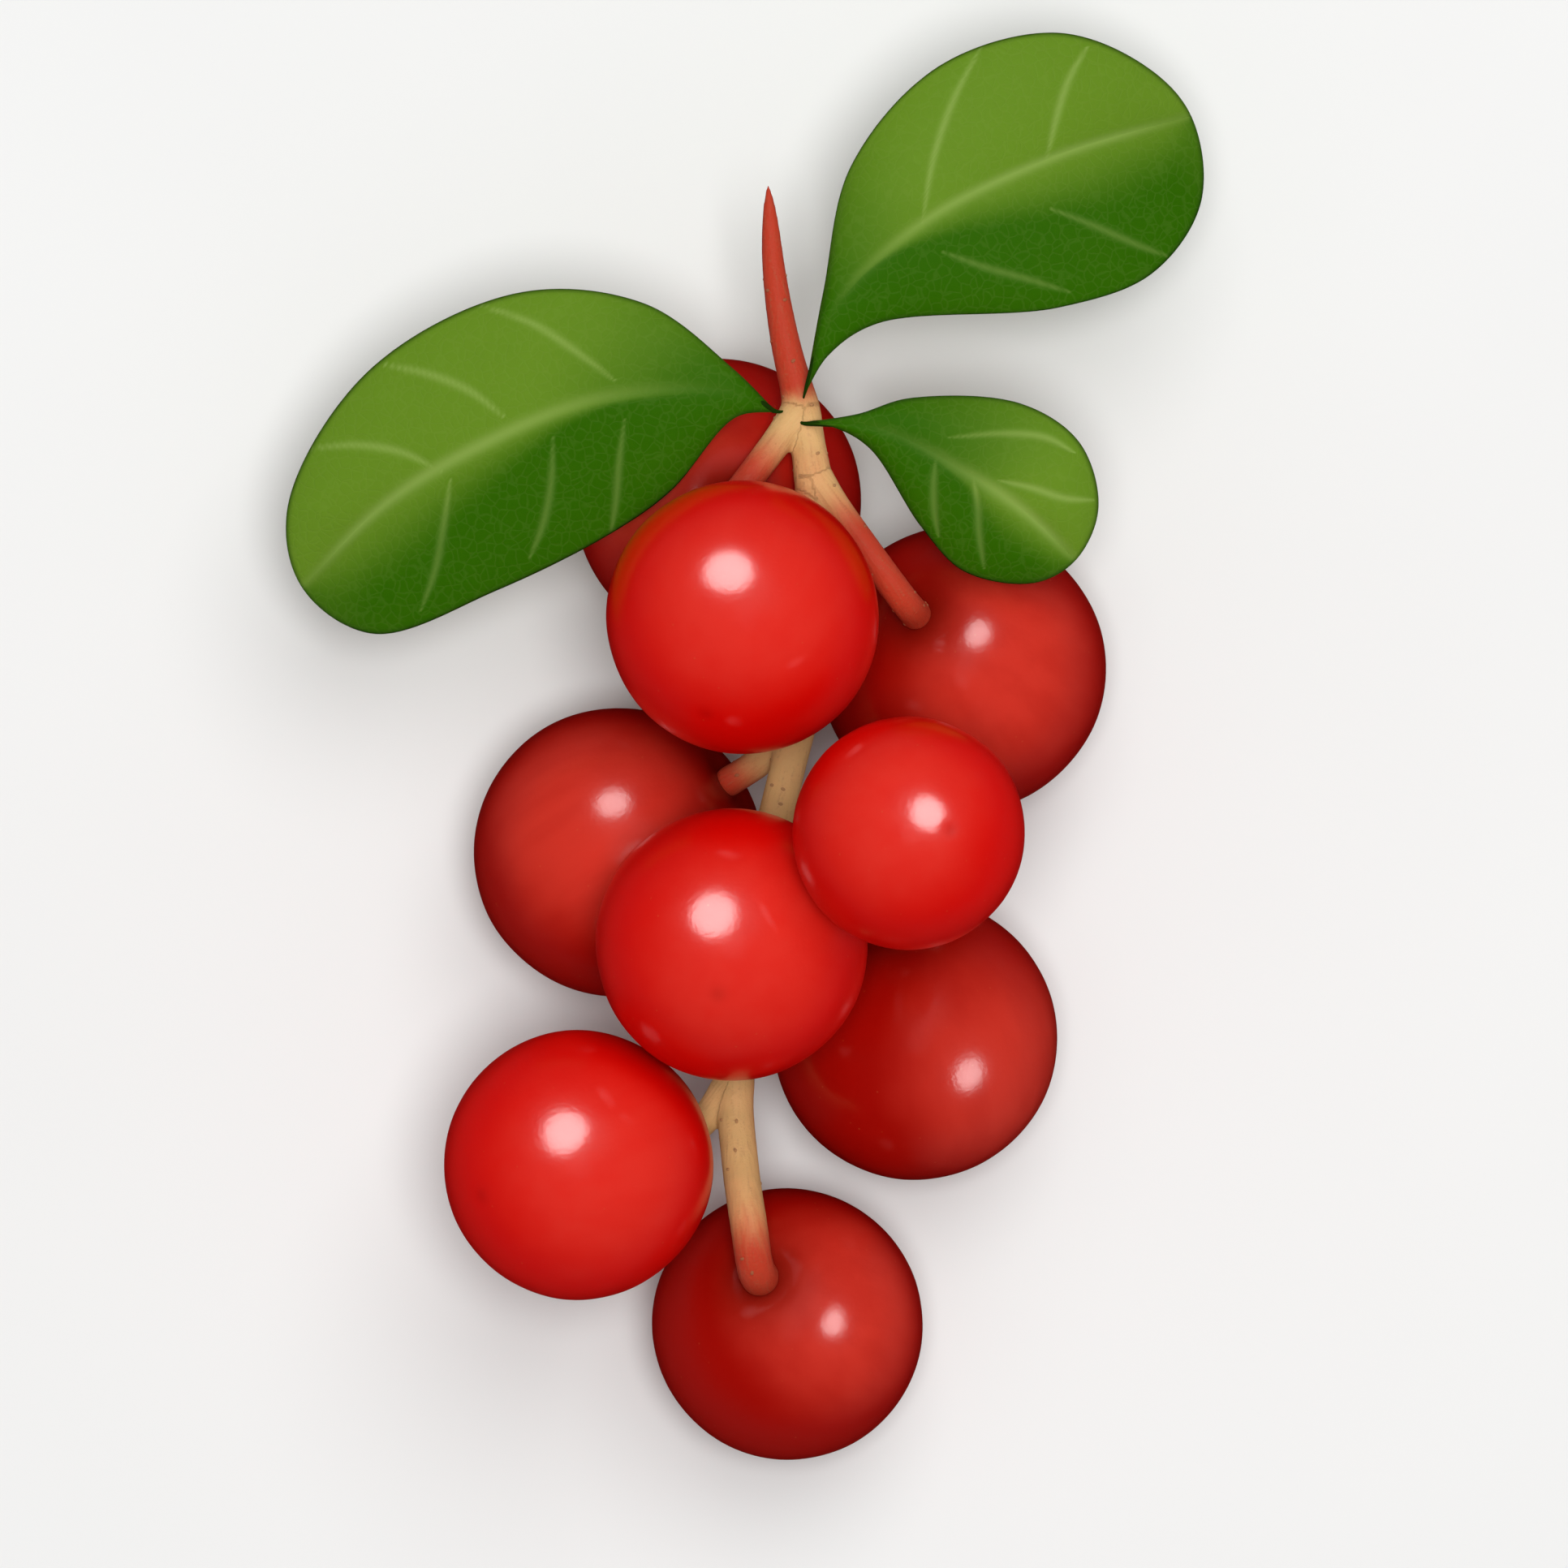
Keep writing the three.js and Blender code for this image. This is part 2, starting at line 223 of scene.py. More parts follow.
class GeometryTree(Tree):
    """A geometry tree with named inputs, run once on an object."""

    def __init__(self, name: str) -> None:
        """Starts an empty tree with a geometry input and output.

        Args:
            name: the tree's name, which its modifier takes too.
        """
        super().__init__(bpy.data.node_groups.new(name, "GeometryNodeTree"))
        for direction in ("INPUT", "OUTPUT"):
            self.tree.interface.new_socket("Geometry", in_out=direction,
                                           socket_type="NodeSocketGeometry")
        self.entry = self.tree.nodes.new("NodeGroupInput")
        self.exit = self.tree.nodes.new("NodeGroupOutput")

    def input(self, name: str, kind: str = "NodeSocketFloat") -> bpy.types.NodeSocket:
        """Adds a named input and returns the socket that carries it."""
        self.tree.interface.new_socket(name, in_out="INPUT", socket_type=kind)
        return self.entry.outputs[name]

    def store(self, geometry: Feed, name: str, value: Feed, kind: str = "FLOAT") -> Feed:
        """Stores a value on every point under a name that materials read.

        Args:
            geometry: the mesh.
            name: the attribute's name.
            value: a number or a vector for each point.
            kind: the attribute's data type.

        Returns:
            The mesh with the attribute.
        """
        feeds = {"Geometry": geometry, "Name": name, "Value": value}
        node = self.add("GeometryNodeStoreNamedAttribute", feeds, data_type=kind, domain="POINT")
        return node.outputs["Geometry"]

    def end(self, geometry: Feed, material: Feed) -> None:
        """Closes the tree with real geometry in one material.

        Args:
            geometry: what the tree has made.
            material: the material of all of it.
        """
        real = self.add("GeometryNodeRealizeInstances", {"Geometry": geometry}).outputs[0]
        dressed = self.add("GeometryNodeSetMaterial", {"Geometry": real, "Material": material})
        self.feed(self.exit.inputs["Geometry"], dressed.outputs[0])

    def run(self, piece: bpy.types.Object, values: dict[str, Feed]) -> None:
        """Runs the tree on an object and leaves a plain mesh.

        Args:
            piece: the object, whose mesh is replaced by the result.
            values: the tree's named inputs.
        """
        modifier = piece.modifiers.new(self.tree.name, "NODES")
        modifier.node_group = self.tree
        for item in self.tree.interface.items_tree:
            if item.item_type == "SOCKET" and item.in_out == "INPUT" and item.name in values:
                modifier[item.identifier] = values[item.name]
        bake_modifiers(piece)


def bake_modifiers(piece: bpy.types.Object) -> None:
    """Turns an object with live modifiers into a plain mesh.

    Args:
        piece: the object, which loses its modifiers and its old mesh.
    """
    graph = bpy.context.evaluated_depsgraph_get()
    plain = bpy.data.meshes.new_from_object(piece.evaluated_get(graph), depsgraph=graph)
    piece.modifiers.clear()
    old, piece.data = piece.data, plain
    bpy.data.meshes.remove(old)
    plain.name = piece.name


def new_piece(name: str, points: np.ndarray, faces: list[tuple[int, ...]]) -> bpy.types.Object:
    """Makes a mesh object at the origin.

    Args:
        name: the object's name.
        points: its vertices.
        faces: vertex numbers of each face.

    Returns:
        The new object, linked to the scene and shaded smooth.
    """
    mesh = bpy.data.meshes.new(name)
    mesh.from_pydata(np.asarray(points).reshape(-1, 3).tolist(), [], faces)
    mesh.shade_smooth()
    piece = bpy.data.objects.new(name, mesh)
    bpy.context.scene.collection.objects.link(piece)
    return piece


def write_attribute(piece: bpy.types.Object, name: str, values: np.ndarray) -> None:
    """Stores one number, or one vector, on each vertex of a piece.

    Args:
        piece: the mesh object.
        name: the attribute's name.
        values: a number or a row of three for each vertex.
    """
    is_vector = values.ndim == 2
    kind, field = ("FLOAT_VECTOR", "vector") if is_vector else ("FLOAT", "value")
    layer = piece.data.attributes.new(name, kind, "POINT")
    layer.data.foreach_set(field, values.astype(np.float32).ravel())


def vertices_of(piece: bpy.types.Object) -> np.ndarray:
    """Reads a mesh object's vertices.

    Args:
        piece: the mesh object.

    Returns:
        One row per vertex, in the mesh's own unit.
    """
    flat = np.zeros(len(piece.data.vertices) * 3, np.float32)
    piece.data.vertices.foreach_get("co", flat)
    return flat.reshape(-1, 3).astype(float)


def unit(vector: np.ndarray) -> np.ndarray:
    """A vector, or each row of an array, at length 1."""
    return vector / np.linalg.norm(vector, axis=-1, keepdims=True)


def ease(value: np.ndarray, start: float, end: float) -> np.ndarray:
    """Runs smoothly from 0 at start to 1 at end."""
    share = np.clip((value - start) / (end - start), 0.0, 1.0)
    return share * share * (3.0 - 2.0 * share)


def hump(value: np.ndarray, width: Union[float, np.ndarray]) -> np.ndarray:
    """A smooth hump: 1 where value is 0, fading over a width."""
    return np.exp(-((value / width) ** 2))


def spline(points: np.ndarray, shares: np.ndarray) -> np.ndarray:
    """Places on a centripetal Catmull-Rom line through points.

    Args:
        points: the points, one per row.
        shares: where along the line, from 0 to 1, each span having an equal share.

    Returns:
        One place per share.
    """
    points = np.asarray(points, float)
    spans = len(points) - 1
    padded = np.vstack([2 * points[0] - points[1], points, 2 * points[-1] - points[-2]])
    at = np.clip(np.asarray(shares, float), 0.0, 1.0) * spans
    span = np.minimum(at.astype(int), spans - 1)
    part = (at - span)[:, None]
    before, start, end, after = (padded[span + step] for step in range(4))

    def knot(first: np.ndarray, second: np.ndarray) -> np.ndarray:
        """The knot distance between neighbouring points."""
        return np.sqrt(np.maximum(np.linalg.norm(second - first, axis=1), TINY))[:, None]

    gap_0, gap_1, gap_2 = knot(before, start), knot(start, end), knot(end, after)
    leave = (start - before) / gap_0 - (end - before) / (gap_0 + gap_1) + (end - start) / gap_1
    arrive = (end - start) / gap_1 - (after - start) / (gap_1 + gap_2) + (after - end) / gap_2
    leave, arrive = leave * gap_1, arrive * gap_1
    square, cube = part**2, part**3
    return (start * (2 * cube - 3 * square + 1) + leave * (cube - 2 * square + part)
            + end * (3 * square - 2 * cube) + arrive * (cube - square))


def even_spline(points: np.ndarray, spacing: float) -> np.ndarray:
    """Places on the same kind of line, an even distance apart.

    Args:
        points: the points that the line passes through, one per row.
        spacing: the wanted distance between neighbouring places.

    Returns:
        The places, with the first and the last point among them.
    """
    fine = spline(points, np.linspace(0, 1, FINE_STEPS_PER_POINT * len(points)))
    run = np.concatenate([[0], np.cumsum(np.linalg.norm(np.diff(fine, axis=0), axis=1))])
    count = max(FEWEST_SPANS, int(round(run[-1] / spacing)))
    wanted = np.linspace(0, run[-1], count + 1)
    return np.stack([np.interp(wanted, run, fine[:, axis]) for axis in range(3)], axis=1)


# ---------------------------------------------------------------- the fruits' places
class Ripeness(Enum):
    """How ripe a fruit is, which sets its finish."""

    BRIGHT = "fruit_bright"
    DEEP = "fruit_deep"


@dataclass(frozen=True)
class FruitPlan:
    """How a fruit ripened, which way its painted lit patch faces, and where its highlight lies,
    seen from above.
    """

    ripeness: Ripeness
    cheek: Plan
    glint: Plan


def upper_side(place: Plan) -> Triple:
    """The direction from a ball's middle to a place on its upper side, seen from above."""
    east, north = place
    return east, north, math.sqrt(1 - east**2 - north**2)


@dataclass(frozen=True)
class Ball:
    """A fruit's place and size in millimetres, and the way its stalk enters."""

    centre: np.ndarray
    radius: float
    stem: np.ndarray

    @classmethod
    def of_node(cls, node: str) -> "Ball":
        """Fits a ball to a fruit's CAD node.

        Args:
            node: the node's name.

        Returns:
            The ball, fitted on the side away from the stalk's dimple.
        """
        points = vertices_of(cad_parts[node]) / MM
        low, high = (np.array(corner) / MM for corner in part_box(node))
        middle = (low + high) / 2
        stem = cls.nearest(points, middle) - middle
        round_side = points[(points - middle) @ stem < 0]
        rows = np.hstack([2 * round_side, np.ones((len(round_side), 1))])
        fit = np.linalg.lstsq(rows, (round_side**2).sum(axis=1), rcond=None)[0]
        centre = fit[:3]
        radius = float(math.sqrt(fit[3] + centre @ centre))
        return cls(centre, radius, unit(cls.nearest(points, centre) - centre))

    @staticmethod
    def nearest(points: np.ndarray, place: np.ndarray) -> np.ndarray:
        """The point nearest to a place, which is on the dimple's floor for a fruit's middle."""
        return points[np.argmin(np.linalg.norm(points - place, axis=1))]


# ---------------------------------------------------------------- finishes
@dataclass(frozen=True)
class RipeSkin:
    """Glossy skin of a ripe fruit, streaked from stalk to apex, with a painted lit patch on one
    side and painted shade darkening it round the stalk.

    Pattern scales are per millimetre of the fruit, or per radius for the streaks. Amounts are
    shares from 0 to 1 and angles are radians.
    """

    name: str
    # The lit colour is painted light on the lit patch; the flush colour covers the rest and the
    # streaks; the darkest colour is painted shade round the stalk and also colours the apex scar.
    lit: Colour
    flush: Colour
    shade_and_scar: Colour
    speck: Colour = (0.62, 0.16, 0.06)
    gloss: float = 0.38
    gloss_spread: float = 0.1
    gloss_scale: float = 9.0
    painted_lit_edge: Plan = (0.5, 1.0)
    blotch_scale: float = 0.2
    blotch_amount: float = 0.35
    streak_scale: float = 5.0
    streak_edge: Plan = (0.35, 0.7)
    streak_amount: float = 0.2
    speck_scale: float = 1.7
    speck_edge: Plan = (0.03, 0.11)
    speck_amount: float = 0.2
    patch_scale: float = 0.9
    patch_edge: Plan = (0.45, 0.6)
    stalk_ring: float = 0.4
    stalk_shade_amount: float = 0.9
    stalk_ring_dullness: float = 0.4
    apex_ring: float = 0.06
    apex_ring_amount: float = 0.2
    pore_scale: float = 5.0
    pore_depth: float = 0.006

    def build(self) -> bpy.types.Material:
        """Makes the material.

        Returns:
            The finished material.
        """
        tree = ShaderTree(self.name, {
            "IOR": 1.4, "Subsurface Weight": 0.1, "Subsurface Radius": (1.0, 0.15, 0.08),
            "Subsurface Scale": 1.0 * MM, "Specular IOR Level": 0.02, "Coat Weight": 0.5,
            "Coat Roughness": 0.19, "Coat IOR": 1.5,
        })
        grain = tree.attribute("skin_grain", "Vector")
        stalk_angle = tree.attribute("stalk_angle")
        near_stalk = tree.bell(stalk_angle, self.stalk_ring)
        near_apex = tree.bell(tree.math("SUBTRACT", math.pi, stalk_angle), self.apex_ring)
        streaks = tree.ease(tree.noise(grain, self.streak_scale, 4.0), *self.streak_edge)
        # Painted light: the lit colour where the skin faces its painted lit patch, the flush colour
        # elsewhere.
        colour = tree.mix(self.painted_lit_share(tree), self.flush, self.lit)
        # Over it go the skin's own streaks and specks, painted shade in the dimple round the stalk,
        # and the darker apex scar.
        for mask, amount, layer in (
            (streaks, self.streak_amount, self.flush),
            (self.specks(tree), self.speck_amount, self.speck),
            (near_stalk, self.stalk_shade_amount, self.shade_and_scar),
            (near_apex, self.apex_ring_amount, self.shade_and_scar),
        ):
            colour = tree.mix(tree.math("MULTIPLY", mask, amount), colour, layer)
        tree.feed(tree.shader.inputs["Base Color"], colour)
        tree.relief(tree.noise(tree.place(), self.pore_scale, 2.0), self.pore_depth * MM)
        patches = tree.noise(grain, self.gloss_scale, 2.0)
        rough = tree.math("MULTIPLY_ADD", patches, self.gloss_spread,
                          self.gloss - self.gloss_spread / 2)
        dull_ring = tree.math("MULTIPLY", near_stalk, self.stalk_ring_dullness)
        tree.feed(tree.shader.inputs["Roughness"], tree.math("ADD", rough, dull_ring))
        return tree.material

    def painted_lit_share(self, tree: ShaderTree) -> bpy.types.NodeSocket:
        """How far each place lies in the painted lit patch, with an uneven edge.

        Args:
            tree: the material's tree.

        Returns:
            0 away from the painted lit patch and 1 on it.
        """
        blotches = tree.math("SUBTRACT", tree.noise(tree.place(), self.blotch_scale, 3.0), 0.5)
        lit_facing = tree.math("MULTIPLY_ADD", blotches, self.blotch_amount, tree.attribute("cheek"))
        return tree.ease(lit_facing, *self.painted_lit_edge)

    def specks(self, tree: ShaderTree) -> bpy.types.NodeSocket:
        """Pale breathing pores, present in patches.

        Args:
            tree: the material's tree.

        Returns:
            1 on a speck and 0 between them.
        """
        feeds = {"Vector": tree.place(), "Scale": self.speck_scale}
        cells = tree.add("ShaderNodeTexVoronoi", feeds, feature="F1")
        away = tree.ease(cells.outputs["Distance"], *self.speck_edge)
        patches = tree.ease(tree.noise(tree.place(), self.patch_scale, 1.0), *self.patch_edge)
        return tree.math("MULTIPLY", tree.math("SUBTRACT", 1.0, away), patches)


@dataclass(frozen=True)
class StalkBark:
    """Smooth green-wood bark, tan along the stalk and red towards its tip and its fruits.

    Pattern scales are per millimetre and amounts are shares from 0 to 1.
    """

    name: str = "stalk_bark"
    tan: Colour = (0.74, 0.43, 0.18)
    olive: Colour = (0.64, 0.40, 0.16)
    red: Colour = (0.48, 0.043, 0.018)
    cork: Colour = (0.30, 0.13, 0.06)
    patch_scale: float = 0.5
    patch_edge: Plan = (0.3, 0.7)
    blush_scale: float = 2.2
    blush_unevenness: float = 0.3
    full_blush: float = 0.85
    line_scale: float = 4.5
    line_edge: Plan = (0.5, 0.75)
    line_amount: float = 0.28
    pore_amount: float = 0.6
    line_relief: float = 0.8
    grit_scale: float = 7.0
    grit_relief: float = 0.3
    relief_depth: float = 0.05

    def build(self) -> bpy.types.Material:
        """Makes the material.

        Returns:
            The finished material.
        """
        tree = ShaderTree(self.name, {
            "Roughness": 0.55, "IOR": 1.45, "Specular IOR Level": 0.15,
            "Subsurface Weight": 0.08, "Subsurface Radius": (1.0, 0.5, 0.25),
            "Subsurface Scale": 0.5 * MM,
        })
        fibre = tree.attribute("bark_grain", "Vector")
        fibres = tree.noise(fibre, self.line_scale, 5.0)
        patches = tree.ease(tree.noise(tree.place(), self.patch_scale, 3.0), *self.patch_edge)
        uneven = tree.math("MULTIPLY_ADD", tree.noise(fibre, self.blush_scale, 4.0),
                           self.blush_unevenness, -self.blush_unevenness / 2)
        blush = tree.ease(tree.math("ADD", tree.attribute("blush"), uneven), 0.0, self.full_blush)
        lines = tree.math("MULTIPLY", tree.ease(fibres, *self.line_edge), self.line_amount)
        pores = tree.math("MULTIPLY", tree.attribute("cork"), self.pore_amount)
        colour = tree.mix(patches, self.tan, self.olive)
        for mask, layer in ((blush, self.red), (lines, self.cork), (pores, self.cork)):
            colour = tree.mix(mask, colour, layer)
        tree.feed(tree.shader.inputs["Base Color"], colour)
        grit = tree.noise(tree.place(), self.grit_scale, 3.0)
        grain = tree.math("ADD", tree.math("MULTIPLY", fibres, self.line_relief),
                          tree.math("MULTIPLY", grit, self.grit_relief))
        tree.relief(grain, self.relief_depth * MM)
        return tree.material


@dataclass(frozen=True)
class LeafSkin:
    """Leathery leaf: a light half and a half darkened by painted shade, pale veins, a fine net
    between them, a dark rim.

    Pattern scales are per millimetre and amounts are shares from 0 to 1.
    """

    name: str = "leaf_skin"
    # The light green is painted light and the dark green is painted shade on the upper face, mixed
    # by the shade mask.
    light: Colour = (0.122, 0.236, 0.015)
    dark: Colour = (0.026, 0.112, 0.0005)
    vein: Colour = (0.27, 0.39, 0.085)
    rim: Colour = (0.016, 0.045, 0.004)
    under: Colour = (0.20, 0.31, 0.10)
    under_vein: Colour = (0.34, 0.44, 0.16)
    foot: Colour = (0.010, 0.035, 0.002)
    mottle_scale: float = 0.45
    mottle_amount: float = 0.16
    net_scale: float = 2.2
    net_line: float = 0.12
    net_amount: float = 0.05
    net_amount_under: float = 0.35
    net_push: float = 0.5
    net_push_scale: float = 1.1
    vein_amount: float = 0.62
    vein_amount_under: float = 0.7
    vein_fade_in_shade: float = 0.55
    rim_amount: float = 0.75
    roughness: float = 0.48
    roughness_under: float = 0.68
    roughness_spread: float = 0.08
    net_relief: float = 0.5
    pore_scale: float = 9.0
    pore_relief: float = 0.35
    relief_depth: float = 0.014

    def build(self) -> bpy.types.Material:
        """Makes the material.

        Returns:
            The finished material.
        """
        tree = ShaderTree(self.name, {
            "IOR": 1.45, "Specular IOR Level": 0.03,
            "Subsurface Weight": 0.06, "Subsurface Radius": (0.4, 1.0, 0.15),
            "Subsurface Scale": 0.4 * MM,
        })
        vein = tree.attribute("vein")
        shade = tree.attribute("shade")
        under = tree.attribute("under")
        mottle = tree.noise(tree.place(), self.mottle_scale, 4.0)
        net = tree.math("MULTIPLY", self.net(tree), tree.math("SUBTRACT", 1.0, vein))
        uneven = tree.math("MULTIPLY_ADD", mottle, self.mottle_amount, -self.mottle_amount / 2)
        # Painted light and shade: light green on the lit half, dark green where the mask paints
        # shade.
        blade = tree.mix(tree.math("ADD", shade, uneven), self.light, self.dark)
        faded = tree.math("MULTIPLY", shade, self.vein_fade_in_shade)
        pale = tree.mix(faded, self.vein, blade)
        top = self.veined(tree, blade, (
            (net, self.net_amount, self.vein), (vein, self.vein_amount, pale),
            (tree.attribute("rim"), self.rim_amount, self.rim)))
        below = self.veined(tree, self.under, (
            (net, self.net_amount_under, self.vein),
            (vein, self.vein_amount_under, self.under_vein)))
        colour = tree.mix(under, top, below)
        colour = tree.mix(tree.attribute("petiole"), colour, self.foot)
        tree.feed(tree.shader.inputs["Base Color"], colour)
        rough = tree.math("MULTIPLY_ADD", under, self.roughness_under - self.roughness,
                          self.roughness)
        tree.feed(tree.shader.inputs["Roughness"],
                  tree.math("MULTIPLY_ADD", mottle, self.roughness_spread, rough))
        lines = tree.math("MULTIPLY", net, -self.net_relief)
        pores = tree.noise(tree.place(), self.pore_scale, 2.0)
        tree.relief(tree.math("MULTIPLY_ADD", pores, self.pore_relief, lines),
                    self.relief_depth * MM)
        return tree.material

    @staticmethod
    def veined(tree: ShaderTree, colour: Feed,
               layers: tuple[tuple[Feed, float, Feed], ...]) -> Feed:
        """Lays colours over a face one after another.

        Args:
            tree: the material's tree.
            colour: the face's own colour.
            layers: for each layer its mask, its amount and its colour.

        Returns:
            The resulting colour.
        """
        for mask, amount, layer in layers:
            colour = tree.mix(tree.math("MULTIPLY", mask, amount), colour, layer)
        return colour

    def net(self, tree: ShaderTree) -> bpy.types.NodeSocket:
        """The finest veins, a net of uneven cells.

        Args:
            tree: the material's tree.

        Returns:
            1 on a line of the net and 0 inside a cell.
        """
        place = tree.place()
        feeds = {"Vector": place, "Scale": self.net_push_scale, "Detail": 2.0}
        push = tree.add("ShaderNodeTexNoise", feeds).outputs["Color"]
        pushed = tree.vector("ADD", place, tree.vector("SCALE", push, self.net_push))
        cells = tree.add("ShaderNodeTexVoronoi", {"Vector": pushed, "Scale": self.net_scale},
                         feature="DISTANCE_TO_EDGE")
        return tree.math("SUBTRACT", 1.0, tree.ease(cells.outputs["Distance"], 0.0, self.net_line))


# ---------------------------------------------------------------- fruits
@dataclass(frozen=True)
class FruitShape:
    """Sizes that every fruit shares, in millimetres and radians."""

    dimple_depth: float = 0.55
    dimple_angle: float = 0.22
    lip_height: float = 0.03
    lip_angle: float = 0.6
    lip_width: float = 0.2
    scar_depth: float = 0.03
    scar_angle: float = 0.07
    unevenness: float = 0.16
    bumps_per_radius: float = 1.1
    streak_stretch: float = 0.16
    sides: int = 128
    rings: int = 88


class FruitCrop:
    """Grows the fruits with one geometry tree, whose rule shapes a ball into a ripe fruit."""

    # Points this close on a ball of radius 1 are merged, so that its poles are closed.
    POLE_GAP = 1e-5

    def __init__(self, shape: FruitShape, skins: dict[Ripeness, bpy.types.Material]) -> None:
        """Prepares the tree.

        Args:
            shape: sizes that every fruit shares.
            skins: one material for each ripeness.
        """
        self.shape = shape
        self.skins = skins
        self.tree = self.plant_tree()

    def plant_tree(self) -> GeometryTree:
        """Builds the tree: a ball, its dimple, lip, apex scar and unevenness, then its place.

        Returns:
            The tree, with one named input for each size and place.
        """
        shape = self.shape
        tree = GeometryTree("ripe_fruit")
        radius, depth, width, seed = (
            tree.input(name) for name in ("Radius", "Dimple Depth", "Dimple Angle", "Seed"))
        turn, centre, cheek = (
            tree.input(name, "NodeSocketVector") for name in ("Turn", "Centre", "Painted Lit Side"))
        skin = tree.input("Skin", "NodeSocketMaterial")
        ball = tree.add("GeometryNodeMeshUVSphere", {
            "Segments": shape.sides, "Rings": shape.rings, "Radius": 1.0}).outputs["Mesh"]
        ball = tree.add("GeometryNodeMergeByDistance",
                        {"Geometry": ball, "Distance": self.POLE_GAP}).outputs[0]
        away = tree.add("GeometryNodeInputPosition").outputs[0]
        angle = self.angle_from_stalk(tree, away)
        shift = tree.add("ShaderNodeCombineXYZ", {0: seed, 1: seed, 2: 0.0}).outputs[0]
        relief = self.relief(tree, angle, depth, width, tree.vector("ADD", away, shift))
        body = tree.store(ball, "stalk_angle", angle)
        streaked = tree.vector("MULTIPLY", away, (1.0, 1.0, shape.streak_stretch))
        body = tree.store(body, "skin_grain", tree.vector("ADD", streaked, shift), "FLOAT_VECTOR")
        reach = tree.math("ADD", radius, relief)
        body = tree.add("GeometryNodeSetPosition", {
            "Geometry": body, "Position": tree.vector("SCALE", away, reach)}).outputs[0]
        turned = tree.add("GeometryNodeTransform", {
            "Geometry": body, "Rotation": turn, "Translation": centre}).outputs[0]
        # Stores how squarely each point faces the side of its painted lit patch.
        place = tree.add("GeometryNodeInputPosition").outputs[0]
        outward = tree.vector("NORMALIZE", tree.vector("SUBTRACT", place, centre))
        facing = tree.add("ShaderNodeVectorMath", {0: outward, 1: cheek}, operation="DOT_PRODUCT")
        turned = tree.store(turned, "cheek", facing.outputs["Value"])
        smooth = tree.add("GeometryNodeSetShadeSmooth", {"Geometry": turned}).outputs[0]
        tree.end(smooth, skin)
        return tree

    @staticmethod
    def angle_from_stalk(tree: GeometryTree, away: Feed) -> bpy.types.NodeSocket:
        """Works out how far round the ball a point is.

        Args:
            tree: the fruit's tree.
            away: the point's place on a ball of radius 1 whose stalk is at its top.

        Returns:
            The angle in radians, 0 at the stalk and pi at the apex.
        """
        upward = tree.add("ShaderNodeSeparateXYZ", {0: away}).outputs[2]
        clamped = tree.math("MAXIMUM", tree.math("MINIMUM", upward, 1.0), -1.0)
        return tree.math("ARCCOSINE", clamped)

    def relief(self, tree: GeometryTree, angle: Feed, depth: Feed, width: Feed,
               seeded: Feed) -> bpy.types.NodeSocket:
        """How far the skin stands out from a plain ball.

        Args:
            tree: the fruit's tree.
            angle: the angle from the stalk.
            depth: the dimple's depth.
            width: the angle over which the dimple fades.
            seeded: the place from which this fruit's unevenness is read.

        Returns:
            The height above the ball, in metres.
        """
        shape = self.shape
        dimple = tree.math("MULTIPLY", depth, tree.bell(angle, width))
        from_lip = tree.math("SUBTRACT", angle, shape.lip_angle)
        lip = tree.math("MULTIPLY", tree.bell(from_lip, shape.lip_width), shape.lip_height * MM)
        from_apex = tree.math("SUBTRACT", math.pi, angle)
        scar = tree.math("MULTIPLY", tree.bell(from_apex, shape.scar_angle), shape.scar_depth * MM)
        bumps = tree.math("SUBTRACT", tree.noise(seeded, shape.bumps_per_radius, 1.0), 0.5)
        swell = tree.math("MULTIPLY", bumps, shape.unevenness * MM)
        hollows = tree.math("ADD", dimple, scar)
        return tree.math("SUBTRACT", tree.math("ADD", lip, swell), hollows)

    def grow(self, node: str, plan: FruitPlan, ball: Ball, seed: int) -> bpy.types.Object:
        """Grows one fruit in its CAD node's place.

        Args:
            node: the CAD node that it stands for.
            plan: its finish and which way its painted lit patch faces.
            ball: its place, size and stalk direction.
            seed: picks its streaks and unevenness.

        Returns:
            The finished fruit.
        """
        piece = new_piece(f"{node}_skin", np.zeros((0, 3)), [])
        turn = Vector((0, 0, 1)).rotation_difference(Vector(ball.stem)).to_euler()
        self.tree.run(piece, {
            "Radius": ball.radius * MM, "Dimple Depth": self.shape.dimple_depth * MM,
            "Dimple Angle": self.shape.dimple_angle, "Seed": float(seed),
            "Turn": tuple(turn), "Centre": tuple(ball.centre * MM), "Painted Lit Side": upper_side(plan.cheek),
            "Skin": self.skins[plan.ripeness],
        })
        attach(piece, BODY)
        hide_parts(node)
        return piece


# ---------------------------------------------------------------- stalk
@dataclass(frozen=True)
class RoutePoint:
    """A point on the main stalk in fruit diameters, with the fork's name if it is one."""

    at: Triple
    fork: str = ""


@dataclass(frozen=True)
class SideStalk:
    """A stalk that leaves the main one at a fork and ends in a fruit.

    It reddens between two shares of its length, and turns straight into its fruit from an
    approach of so many of its own thicknesses.
    """

    fruit: str
    fork: str
    via: tuple[Triple, ...] = ()
    approach: float = 1.0
    first_red: float = -0.1
    full_red: float = 0.55


@dataclass(frozen=True)
class Shoot:
    """One stalk's centre line, with its radius and redness at each place."""

    line: np.ndarray
    radii: np.ndarray
    blush: np.ndarray


